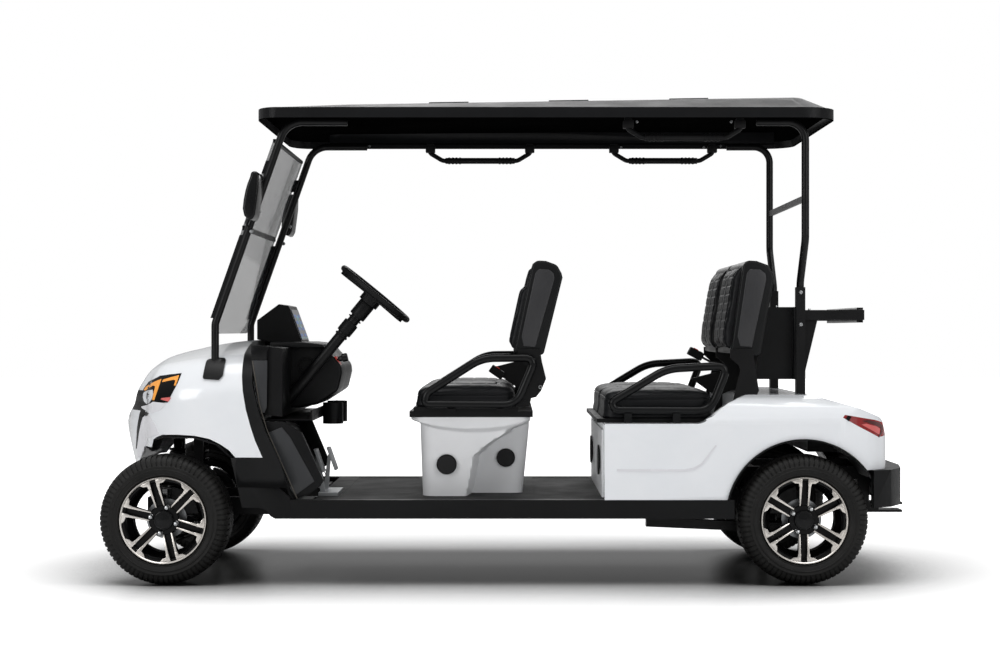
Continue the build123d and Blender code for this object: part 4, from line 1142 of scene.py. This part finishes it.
# buckles between the seats
buckleSpec = {"rear": (0.763, 0.889, 28), "front": (-0.070, 0.812, 35)}
for row, (x, z, tilt) in buckleSpec.items():
    bodies, buttons, tongues = [], [], []
    for side in (-1, 1):
        turn = Matrix.Translation((x, side * 0.0135, z)) @ Matrix.Rotation(math.radians(tilt), 4, "Y")
        body = brick("buckle", (-0.034, -0.011, -0.017), (0.030, 0.011, 0.017))
        roundEdges(body, 0.004, 3, 40)
        strap = brick("strap", (0.028, -0.009, -0.004), (0.150, 0.009, 0.004))
        roundEdges(strap, 0.001, 1, 40)
        button = brick("button", (-0.020, -0.008, 0.0165), (0.000, 0.008, 0.0195))
        tongue = brick("tongue", (0.006, -0.008, 0.0165), (0.022, 0.008, 0.0185))
        for piece, bag in ((body, bodies), (strap, bodies), (button, buttons), (tongue, tongues)):
            piece.data.transform(turn)
            bag.append(piece)
    for name, bag, look in (("Buckles", bodies, "blackTrim"), ("BuckleButtons", buttons, "signalRed"),
                            ("BuckleTongues", tongues, "zincBolt")):
        place(joined(row + name, bag), finish[look], "cart")

# side panels that close the front frame, and the footwell's cheeks
closings = {
    # outline in x and z, outer |y|, thickness, finish
    "sillClosing": ([(-1.100, 0.494), (-0.975, 0.497), (-0.918, 0.385), (-0.869, 0.340), (-0.869, 0.258),
                     (-0.928, 0.258), (-0.946, 0.268), (-0.962, 0.290), (-0.985, 0.300), (-1.056, 0.300)],
                    0.5895, 0.012, "blackTrim"),
    "footCheek": ([(-1.000, 0.633), (-0.899, 0.633), (-0.827, 0.590), (-0.743, 0.402), (-0.757, 0.381),
                   (-0.800, 0.350), (-0.855, 0.331), (-0.880, 0.331), (-0.964, 0.598)],
                  0.562, 0.018, "blackTrim"),
    "footCheekPanel": ([(-0.958, 0.590), (-0.905, 0.612), (-0.872, 0.572), (-0.778, 0.402), (-0.852, 0.346),
                        (-0.872, 0.372)], 0.5645, 0.004, "sidePanelGrey"),
    "framePanel": ([(-1.022, 0.872), (-0.961, 0.872), (-0.963, 0.690), (-0.972, 0.668), (-0.992, 0.668)],
                   0.566, 0.006, "sidePanelGrey"),
    "frameCap": ([(-1.028, 0.934), (-0.950, 0.926), (-0.962, 0.905), (-0.963, 0.873), (-1.021, 0.873)],
                 0.566, 0.010, "glossTrim"),
}
for name, (line, y, thick, look) in closings.items():
    halves = []
    for side in (-1, 1):
        # the passenger's side has the shorter cheek
        cut = 0.085 if side > 0 and name.startswith("footCheek") else 0
        half = slab(name, [(x - cut * ramp(x, -0.98, -0.80), side * y, z) for x, z in line],
                    (0, -side * thick, 0))
        roundEdges(half, 0.0016, 2, 40)
        halves.append(half)
    whole = joined(name, halves)
    smoothBy(whole, 35)
    place(whole, finish[look], "cart")

# the seat pod: a wing at the front, and a hollow for feet behind it
podSpec = {"bottom": 0.331, "top": 0.647, "lip": 0.600, "corner": 0.055, "hollowHalf": 0.270}
podEdge = [(0.333, -0.183), (0.363, -0.1745), (0.491, -0.152), (0.519, -0.119), (0.552, -0.075),
           (0.574, -0.036), (0.594, -0.015), (0.612, 0.030), (0.626, 0.060), (0.700, 0.200)]


def along(table, value):
    for (a0, b0), (a1, b1) in zip(table, table[1:]):
        if value <= a1:
            return b0 + (b1 - b0) * max(0, (value - a0) / (a1 - a0))
    return table[-1][1]


def podShape():
    made = brick("seatPod", (-1, -1, 0), (1, 1, 1))
    editAll(made)
    bpy.ops.mesh.subdivide(number_cuts=63)
    editDone()
    low, high, corner = podSpec["bottom"], podSpec["top"], podSpec["corner"]
    for point in made.data.vertices:
        z = low + (high - low) * point.co.z
        rise = min((z - low) / (podSpec["lip"] - low), 1)
        # the band at the top hangs lower in its middle
        lip = 0.588 + 0.034 * point.co.x ** 2
        bulge = ramp(z, lip - 0.004, lip + 0.016)
        front = -0.365 - 0.008 * rise - 0.036 * bulge
        back = 0.034 + 0.026 * rise + 0.004 * bulge
        halfX, halfY, middle = (back - front) / 2, 0.418 + 0.036 * rise + 0.024 * bulge, (front + back) / 2
        x, y = point.co.x * halfX, point.co.y * halfY
        dx, dy = abs(x) - (halfX - corner), abs(y) - (halfY - corner)
        if dx > 0 and dy > 0:
            reach = max(dx, dy) / math.hypot(dx, dy)
            x = math.copysign(halfX - corner + dx * reach, x)
            y = math.copysign(halfY - corner + dy * reach, y)
        x += middle
        inward = ramp(x - along(podEdge, z), -0.010, 0.014) * (1 - bulge)
        y = y * (1 - inward + inward * podSpec["hollowHalf"] / halfY)
        point.co = (x, y, z)
    smoothBy(made, 45)
    evenNormals(made)
    return made


place(podShape(), finish["podPlastic"], "cart", ["front_seat_pod"])

# speaker grilles: a rim round a field of small holes
grilleSpots = [(-0.2675, 0.4430, 0.4586, 0.040), (-0.034, 0.2735, 0.4736, 0.0375)]
rimsMade, fields = [], []
for x, y, z, radius in grilleSpots:
    for side in (-1, 1):
        profile = [(radius - 0.004, 0.0, 0), (radius, 0.0, 0), (radius, 0.004, 0),
                   (radius - 0.001, 0.0055, 0), (radius - 0.004, 0.0055, 0)]
        edge = lathe("grilleRim", profile, (0, 0, 0), (0, 1, 0), 64)
        field = lathe("grilleField", [(0.0001, 0.0, 0), (radius - 0.003, 0.0, 0), (radius - 0.003, 0.0035, 0),
                                      (0.0001, 0.0045, 0)], (0, 0, 0), (0, 1, 0), 48)
        for piece, bag in ((edge, rimsMade), (field, fields)):
            if side < 0:
                flipAcross(piece)
            piece.data.transform(Matrix.Translation((x, side * y, z)))
            smoothBy(piece, 40)
            bag.append(piece)
for y in (-0.330, 0.330):
    for radius, bag, inner in ((0.060, rimsMade, 0.056), (0.057, fields, 0.0001)):
        piece = lathe("rearGrille", [(0, inner, 0.0), (0, radius, 0.0), (-0.006, radius, 0.0),
                                     (-0.006, inner, 0.0)],
                      (0, 0, 0), (1, 0, 0), 64)
        piece.data.transform(Matrix.Translation((0.340, y, 0.470)))
        smoothBy(piece, 40)
        bag.append(piece)
place(joined("grilleRims", rimsMade), finish["glossTrim"], "cart", ["speaker_grilles"])


def grilleFinish():
    # rows of small round holes in black sheet, drawn as near-black dots: the hole pattern is real, its
    # near-black is painted shade in the openings
    made, tree, shader, where = blankMaterial("grilleSheet")
    cells = addNode(tree, "ShaderNodeTexVoronoi", feature="F1")
    cells.inputs["Scale"].default_value = 330
    cells.inputs["Randomness"].default_value = 0
    edge = addNode(tree, "ShaderNodeMapRange")
    edge.inputs["From Min"].default_value = 0.26
    edge.inputs["From Max"].default_value = 0.36
    wire(tree, where, cells.inputs["Vector"])
    wire(tree, cells.outputs["Distance"], edge.inputs["Value"])
    colour = mixColours(tree, edge.outputs["Result"], linear("020202"), linear("1B1B1C"))
    wire(tree, colour, shader.inputs["Base Color"])
    shader.inputs["Roughness"].default_value = 0.5
    shader.inputs["Specular IOR Level"].default_value = 0.2
    return made


finish["grilleSheet"] = grilleFinish()
place(joined("grilleFields", fields), finish["grilleSheet"], "cart", ["speaker_grilles"])
print("pod and grilles done")

# door mirrors
mirrorSide = [(-1.009, 1.599), (-0.985, 1.599), (-0.980, 1.582), (-0.9815, 1.534), (-0.987, 1.490),
              (-0.9946, 1.434), (-1.0056, 1.412), (-1.024, 1.414), (-1.037, 1.430), (-1.0425, 1.456),
              (-1.039, 1.490), (-1.0316, 1.527), (-1.024, 1.553), (-1.015, 1.575)]
shells, glasses, flashers = [], [], []
for side in (-1, 1):
    shell = slab("mirrorShell", [(x, side * 0.530, z) for x, z in mirrorSide], (0, side * 0.142, 0))
    roundEdges(shell, 0.011, 4, 40)
    arm = pipe("mirrorArm", [(-1.043, side * 0.500, 1.402), (-1.043, side * 0.556, 1.406),
                             (-1.022, side * 0.585, 1.440)],
               0.009, 0.02)
    shells += [shell, arm]
    glasses.append(slab("mirrorGlass", [(-0.9835, side * 0.545, 1.572), (-0.9833, side * 0.545, 1.534),
                                        (-0.9885, side * 0.545, 1.490), (-0.9945, side * 0.545, 1.446)],
                        (0, side * 0.112, 0)))
    flashers.append(slab("flasher", [(-1.0285, side * 0.600, 1.540), (-1.0165, side * 0.600, 1.573),
                                     (-1.0145, side * 0.600, 1.571), (-1.0265, side * 0.600, 1.539)],
                         (0, side * 0.060, 0)))
for piece in glasses:
    thicken(piece, "glassThick", 0.0016, 0)
shells = joined("mirrorShells", shells)
smoothBy(shells, 40)
place(shells, finish["glossTrim"], "cart", ["side_mirrors"])
place(joined("mirrorGlasses", glasses), finish["mirrorGlass"], "cart", ["side_mirrors"])
place(joined("mirrorFlashers", flashers), finish["signalRed"], "cart", ["side_mirrors"])

# thin inlays carried in along the line of sight on to a curved body
sightLine = {"eye": (-0.017, -7.76, 0.99), "plane": -0.62, "missedAt": -0.45}


def inlay(name, points, target, lift=0.0012):
    made = drawChain(name, [(x, -0.75, z) for x, z in points])
    bpy.ops.mesh.select_all(action="SELECT")
    bpy.ops.mesh.edge_face_add()
    bpy.ops.mesh.quads_convert_to_tris()
    bpy.ops.mesh.subdivide(number_cuts=5)
    editDone()
    eye = Vector(sightLine["eye"])
    missed = 0
    for point in made.data.vertices:
        aim = (Vector((point.co.x, sightLine["plane"], point.co.z)) - eye).normalized()
        hit, spot, _, _ = target.ray_cast(eye, aim)
        if hit:
            point.co = spot - aim * lift
        else:
            missed += 1
            point.co = Vector((point.co.x, sightLine["missedAt"], point.co.z))
    if missed:
        print("inlay", name, "missed", missed)
    thicken(made, "inlayThick", 0.0014, 0)
    smoothBy(made, 40)
    return made


frontInlays = {
    # name: outline in x and z, lift, finish
    "lampFrame": ([(-1.4316, 0.762), (-1.4118, 0.7898), (-1.3718, 0.8106), (-1.3302, 0.8186),
                   (-1.2847, 0.8228), (-1.3014, 0.7834), (-1.3295, 0.73), (-1.3382, 0.7101),
                   (-1.3686, 0.7101), (-1.3942, 0.7155), (-1.4022, 0.7075), (-1.4166, 0.7027),
                   (-1.431, 0.7059), (-1.4351, 0.7274), (-1.4339, 0.7466)],
                  0.0015, "lampBlack"),
    "lampAmberFront": ([(-1.43, 0.7594), (-1.4204, 0.7722), (-1.3942, 0.7882), (-1.3622, 0.801),
                        (-1.3718, 0.7722), (-1.3903, 0.7187), (-1.398, 0.721), (-1.3862, 0.7722),
                        (-1.3942, 0.776), (-1.4134, 0.7642), (-1.4246, 0.7556)], 0.003, "lampAmber"),
    "lampAmberRear": ([(-1.3596, 0.7888), (-1.3551, 0.7984), (-1.327, 0.8074), (-1.2943, 0.8154),
                       (-1.3014, 0.7914), (-1.3078, 0.7754), (-1.3135, 0.776), (-1.3084, 0.7946),
                       (-1.3142, 0.7984), (-1.3302, 0.7952)],
                      0.003, "lampAmber"),
    "lampAmberFoot": ([(-1.3654, 0.7226), (-1.3606, 0.7274), (-1.3302, 0.7306), (-1.3263, 0.7274),
                       (-1.335, 0.7139), (-1.3526, 0.7184)], 0.003, "tailBright"),
    "lampReflector": ([(-1.4287, 0.7504), (-1.4166, 0.7562), (-1.3964, 0.7594), (-1.3942, 0.7434),
                       (-1.3996, 0.7226), (-1.4102, 0.7075), (-1.4198, 0.705), (-1.4294, 0.7146),
                       (-1.4335, 0.7306), (-1.4326, 0.7434)],
                      0.003, "lampChrome"),
    "noseSlash": ([(-1.4406, 0.6864), (-1.4095, 0.6666), (-1.4262, 0.6595), (-1.4351, 0.6538),
                   (-1.4422, 0.6314), (-1.4492, 0.5994), (-1.4582, 0.5322), (-1.4607, 0.5322),
                   (-1.4572, 0.5994), (-1.4534, 0.6314), (-1.447, 0.6634)], 0.0025, "lampBlack"),
    "noseFacet": ([(-1.4313, 0.6544), (-1.4086, 0.6618), (-1.3846, 0.6218), (-1.3711, 0.5872),
                   (-1.4134, 0.5722), (-1.4223, 0.5482), (-1.4262, 0.513), (-1.4582, 0.4954),
                   (-1.4543, 0.5354), (-1.4454, 0.6026), (-1.4383, 0.6378)], 0.0015, "facetGrey"),
    "lampFoot": ([(-1.4396, 0.6947), (-1.4166, 0.7005), (-1.3942, 0.713), (-1.343, 0.7075), (-1.3686, 0.6794),
                  (-1.4038, 0.6672), (-1.4383, 0.689)], 0.0015, "facetGrey"),
}
rearInlays = {
    "tailTip": ([(1.2788, 0.6461), (1.2863, 0.6595), (1.3012, 0.6556), (1.2907, 0.6378)], 0.0022,
                "lampBlack"),
    "tailShade": ([(1.3399, 0.6396), (1.3682, 0.6425), (1.4098, 0.6327), (1.4212, 0.6193), (1.4188, 0.5925),
                   (1.4083, 0.5752), (1.4045, 0.5776), (1.4143, 0.5985), (1.4113, 0.6148),
                   (1.3682, 0.6312)], 0.0022, "tailDark"),
    # painted highlight: a pale red patch where light glints on the tail lamp
    "tailPaintedHighlight": ([(1.3399, 0.6247), (1.3562, 0.6288), (1.3979, 0.6178), (1.4113, 0.6089), (1.4083, 0.5865),
                   (1.4024, 0.5895), (1.3801, 0.6029)], 0.0026, "tailBright"),
}
# painted shadow: a thin grey line along the rear body where its crease throws shade
rearInlays["bodyCrease"] = ([(0.345, 0.4535), (0.655, 0.4525), (0.690, 0.458), (0.722, 0.476), (0.776, 0.545),
                             (0.781, 0.543), (0.727, 0.470), (0.693, 0.449), (0.655, 0.4435),
                             (0.345, 0.4445)],
                            0.0012, "facetGrey")
noseNodes = ("front_cowl", "nose_trim", "headlamps")
noseForm = joined("noseForm", [copyOf(skins[node], "noseForm") for node in noseNodes])
tailForm = joined("tailForm", [copyOf(skins[node], "tailForm") for node in ("rear_body", "tail_lamps")])
for table, target, stands in ((frontInlays, noseForm, "headlamps"), (rearInlays, tailForm, "tail_lamps")):
    for name, (line, lift, look) in table.items():
        near = inlay(name, line, target, lift)
        far = copyOf(near, name + "Right", mirrored=True)
        whole = joined(name, [near, far])
        place(whole, finish[look], "cart")
bpy.data.objects.remove(noseForm)
bpy.data.objects.remove(tailForm)
print("lamps done")

# the driver's screen, with plain gauges and bars
screenSpec = {"low": (-0.8745, 0.943), "high": (-0.9245, 1.0795), "half": 0.122}
low = Vector((screenSpec["low"][0], 0, screenSpec["low"][1]))
high = Vector((screenSpec["high"][0], 0, screenSpec["high"][1]))
climb = (high - low).normalized()
outward = Vector((0, 1, 0)).cross(climb)
outward = outward if outward.x > 0 else -outward


def onScreen(across, up, lift):
    # a point on the screen's face, up and across in metres from its lower middle
    return low + climb * up + Vector((0, across, 0)) + outward * lift


def screenTile(name, across0, across1, up0, up1, lift0, lift1):
    corners = [onScreen(across0, up0, lift0), onScreen(across1, up0, lift0), onScreen(across1, up1, lift0),
               onScreen(across0, up1, lift0)]
    return slab(name, corners, outward * (lift1 - lift0))


height = (high - low).length
screen = screenTile("screenGlass", -screenSpec["half"], screenSpec["half"], 0.006, height - 0.006, 0.0005,
                    0.0025)
place(screen, finish["screenDark"], "cart")
marks, dots = [], []
for across, width in ((-0.085, 0.030), (-0.048, 0.022), (0.040, 0.034), (0.082, 0.028)):
    for k in range(4):
        marks.append(screenTile("mark", across - width / 2, across + width / 2, 0.020 + 0.028 * k,
                                0.033 + 0.028 * k, 0.0026, 0.0031))
for k in range(5):
    dots.append(screenTile("dot", -0.110 + 0.050 * k, -0.098 + 0.050 * k, 0.012, 0.017, 0.0026, 0.0032))
gauge = lathe("gauge", [(0.022, 0, 0), (0.027, 0, 0), (0.027, 0, 0.0006), (0.022, 0, 0.0006)], (0, 0, 0),
              (0, 0, 1), 48)
gauge.data.transform(Matrix.Translation(onScreen(-0.004, 0.085, 0.0028)) @
                     outward.to_track_quat("Z", "Y").to_matrix().to_4x4())
dots.append(gauge)
place(joined("screenMarks", marks), finish["screenBlue"], "cart")
place(joined("screenDots", dots), finish["screenWhite"], "cart")

# dashboard: a middle block behind the steering column, with open shelves either side
binnacleSide = [(-0.985, 0.938), (-0.850, 0.938), (-0.776, 0.930), (-0.741, 0.890), (-0.702, 0.845),
                (-0.6995, 0.814), (-0.715, 0.744), (-0.802, 0.687), (-0.873, 0.674), (-0.985, 0.674)]
dashSpec = {"middleHalf": 0.250, "half": 0.545, "back": -0.905}
middle = slab("dashMiddle", [(x, -dashSpec["middleHalf"], z) for x, z in binnacleSide],
              (0, 2 * dashSpec["middleHalf"], 0))
roundEdges(middle, 0.012, 4, 25)
wall = slab("dashWall", [(-0.985, -dashSpec["half"], 0.928), (dashSpec["back"], -dashSpec["half"], 0.920),
                         (dashSpec["back"], -dashSpec["half"], 0.650), (-0.985, -dashSpec["half"], 0.660)],
            (0, 2 * dashSpec["half"], 0))
roundEdges(wall, 0.004, 2, 40)
vents = []
for side in (-1, 1):
    for x, r in ((-0.842, 0.032), (-0.842, 0.024)):
        ring = lathe("ventRing", [(r, 0, 0), (r + 0.004, 0, 0), (r + 0.003, 0.004, 0), (r + 0.001, 0.004, 0)],
                     (0, 0, 0), (0, 1, 0), 48)
        ring.data.transform(Matrix.Translation((x, side * (dashSpec["middleHalf"] + 0.0005), 0.845)) @
                            Matrix.Rotation(math.pi if side < 0 else 0, 4, "X"))
        vents.append(ring)
cowlLip = slab("cowlLip", [(-0.985, -0.30, 0.941), (-0.850, -0.30, 0.941), (-0.772, -0.30, 0.932),
                           (-0.772, -0.30, 0.921), (-0.985, -0.30, 0.921)], (0, 0.60, 0))
roundEdges(cowlLip, 0.004, 2, 40)
whole = joined("dashWhole", [middle, wall, cowlLip] + vents)
smoothBy(whole, 40)
place(whole, finish["blackTrim"], "cart", ["dashboard"])

# collars on the steering column
columnSpec = {"start": (-0.561, -0.28, 1.136), "lean": 39.5}
lean = math.radians(columnSpec["lean"])
axisDown = Vector((-math.sin(lean), 0, -math.cos(lean)))
collars = []
for near, far, radius in ((0.050, 0.120, 0.034), (0.128, 0.134, 0.030), (0.150, 0.205, 0.031),
                          (0.212, 0.222, 0.028)):
    top = Vector(columnSpec["start"])
    collar = drum("collar", top + axisDown * near, top + axisDown * far, radius, 32)
    roundEdges(collar, 0.004, 2, 40)
    collars.append(collar)
collars = joined("columnCollars", collars)
smoothBy(collars, 40)
place(collars, finish["blackTrim"], "cart")

# ribbed grips and end blocks on the roof handles
gripSpec = {"radius": 0.0135, "rib": 0.0155, "z": 1.745}
for x0, x1, sides in ((-0.387, 0.086, (1,)), (0.432, 0.900, (-1, 1))):
    for side in sides:
        start, end = x0 + 0.082, x1 - 0.082
        profile = [(start, 0.0001, 0), (start, gripSpec["radius"], 0)]
        for base in (start + 0.012, end - 0.072):
            for k in range(4):
                x = base + 0.016 * k
                profile += [(x, gripSpec["radius"], 0), (x + 0.002, gripSpec["rib"], 0),
                            (x + 0.008, gripSpec["rib"], 0), (x + 0.010, gripSpec["radius"], 0)]
        profile += [(end, gripSpec["radius"], 0), (end, 0.0001, 0)]
        grip = lathe("handGrip", profile, (0, 0, 0), (1, 0, 0), 24, closed=False)
        grip.data.transform(Matrix.Translation((0, side * 0.5, gripSpec["z"])))
        blocks = []
        for x in (x0 - 0.006, x1 - 0.036):
            block = brick("gripBlock", (x, side * 0.5 - 0.019, 1.781), (x + 0.042, side * 0.5 + 0.019, 1.813))
            roundEdges(block, 0.003, 2, 40)
            blocks.append(block)
        grip = joined("handGrip", [grip] + blocks)
        smoothBy(grip, 35)
        place(grip, finish["gripRubber"], "cart")

# a near-black, matt sheet that follows the roof's own underside: painted shade, darker and duller than the
# roof's own black
sheet = skinOf("roof_canopy")
drawRoofIn(sheet)
editFaces(sheet, lambda centre, normal: normal.z > -0.25)
bpy.ops.mesh.delete(type="FACE")
editDone()
thicken(sheet, "shadeSheetThick", 0.0015, 1)
smoothBy(sheet, 40)
evenNormals(sheet)
place(sheet, finish["undersideShadeBlack"], "cart")

# gussets of the bag rack
gussets = []
for side in (-1, 1):
    gusset = slab("gusset", [(x, side * 0.352, z) for x, z in ((1.150, 1.068), (1.213, 1.068), (1.213, 1.024),
                                                               (1.160, 0.803), (1.150, 0.803))],
                  (0, -side * 0.005, 0))
    roundEdges(gusset, 0.0012, 1, 40)
    gussets.append(gusset)
place(joined("rackGussets", gussets), finish["framePaint"], "cart")

# windshield trim: side flanges, a hinge across the middle and a bar along the top
paneSpec = {"top": 1.736, "hinge": 1.3925, "foot": 0.978, "half": 0.470, "flange": 0.034}


def screenX(z):
    # where the pane stands at this height
    return -1.200 + (z - 1.015) * 0.3527 + 0.026 * (1 - ramp(z, 0.975, 1.35))


flanges = []
for low, high in ((paneSpec["foot"], 1.386), (1.399, paneSpec["top"])):
    heights = [low + (high - low) * k / 6 for k in range(7)]
    for side in (-1, 1):
        line = [(screenX(z) + 0.0045, z) for z in heights]
        line += [(screenX(z) + 0.0070, z) for z in reversed(heights)]
        flanges.append(slab("flange", [(x, side * paneSpec["half"], z) for x, z in line],
                            (0, -side * paneSpec["flange"], 0)))
place(joined("screenFlanges", flanges), finish["windshieldFlange"], "cart")
bars = []
for z, tall in ((paneSpec["hinge"], 0.010), (paneSpec["top"], 0.007)):
    bar = brick("screenBar", (screenX(z) - 0.006, -paneSpec["half"], z - tall),
                (screenX(z) + 0.008, paneSpec["half"], z + tall))
    roundEdges(bar, 0.003, 2, 40)
    bars.append(bar)
place(joined("screenBars", bars), finish["blackTrim"], "cart")

# a painted highlight: a thin bronze-brown line where light catches the front frame's outer edge
highlightLine = [(-1.018, 0.870), (-0.992, 0.700), (-0.962, 0.600), (-0.905, 0.470), (-0.845, 0.335)]
edges = []
for side in (-1, 1):
    edges.append(pipe("frameHighlightLine", [(x, side * 0.5665, z) for x, z in highlightLine], 0.0022, 0.02))
place(joined("frameHighlightLines", edges), finish["edgeHighlightPaint"], "cart")
print("dash and trim done")

# drive selector and rocker switches on the binnacle
knob = lathe("selectorKnob", [(0, 0.0001, 0), (0.010, 0.010, 0), (0.022, 0.0115, 0), (0.024, 0.0165, 0),
                              (0.040, 0.0175, 0), (0.045, 0.0150, 0), (0.046, 0.0001, 0)], (0, 0, 0),
             (1, 0, 0), 32, closed=False)
knob.data.transform(Matrix.Translation((-0.708, -0.385, 0.872)) @ Matrix.Rotation(math.radians(-14), 4, "Y"))
smoothBy(knob, 40)
place(knob, finish["glossTrim"], "cart")
switches = []
for y in (-0.190, -0.225):
    rocker = brick("rocker", (-0.006, y - 0.012, -0.022), (0.008, y + 0.012, 0.022))
    roundEdges(rocker, 0.003, 3, 40)
    rocker.data.transform(Matrix.Translation((-0.722, 0, 0.862)) @ Matrix.Rotation(math.radians(-28), 4, "Y"))
    switches.append(rocker)
place(joined("rockerSwitches", switches), finish["signalRed"], "cart")
print("controls done")

# bolts: one domed head with a socket, copied to every place
boltSpots = [
    # x, |y|, z, radius, axis; set on both sides of the cart
    (-0.775, 0.612, 1.822, 0.006, "y"), (-0.653, 0.612, 1.822, 0.006, "y"), (0.937, 0.612, 1.822, 0.006, "y"),
    (1.058, 0.612, 1.822, 0.006, "y"), (1.142, 0.388, 1.140, 0.009, "y"), (1.142, 0.388, 1.012, 0.009, "y"),
    (0.102, 0.503, 0.766, 0.009, "y"), (0.930, 0.503, 0.722, 0.009, "y"), (1.052, 0.330, 1.084, 0.006, "z"),
    (1.180, 0.364, 1.072, 0.006, "z"), (1.385, 0.352, 1.064, 0.005, "y"), (1.385, 0.352, 1.034, 0.005, "y"),
    (-1.000, 0.516, 1.452, 0.008, "y"), (-1.030, 0.516, 1.376, 0.008, "y"), (0.480, 0.516, 1.806, 0.006, "y"),
    (0.850, 0.516, 1.806, 0.006, "y"),
]
head = lathe("boltHead", [(0.0001, 0.20, 0), (0.42, 0.20, 0), (0.50, 0.62, 0), (0.72, 0.60, 0),
                          (0.95, 0.30, 0), (1.0, -0.25, 0), (0.0001, -0.25, 0)], (0, 0, 0), (0, 1, 0), 16)
smoothBy(head, 35)
heads = []
for x, y, z, radius, axis in boltSpots:
    for side in (-1, 1):
        made = copyOf(head, "boltHead")
        made.data.transform(Matrix.Scale(radius, 4))
        if axis == "y":
            angle = math.pi if side < 0 else 0
        else:
            angle = math.pi / 2
        made.data.transform(Matrix.Translation((x, side * y, z)) @ Matrix.Rotation(angle, 4, "X"))
        heads.append(made)
place(joined("boltHeads", heads), finish["zincBolt"], "cart")
bpy.data.objects.remove(head)
print("bolts done")

pickNone()
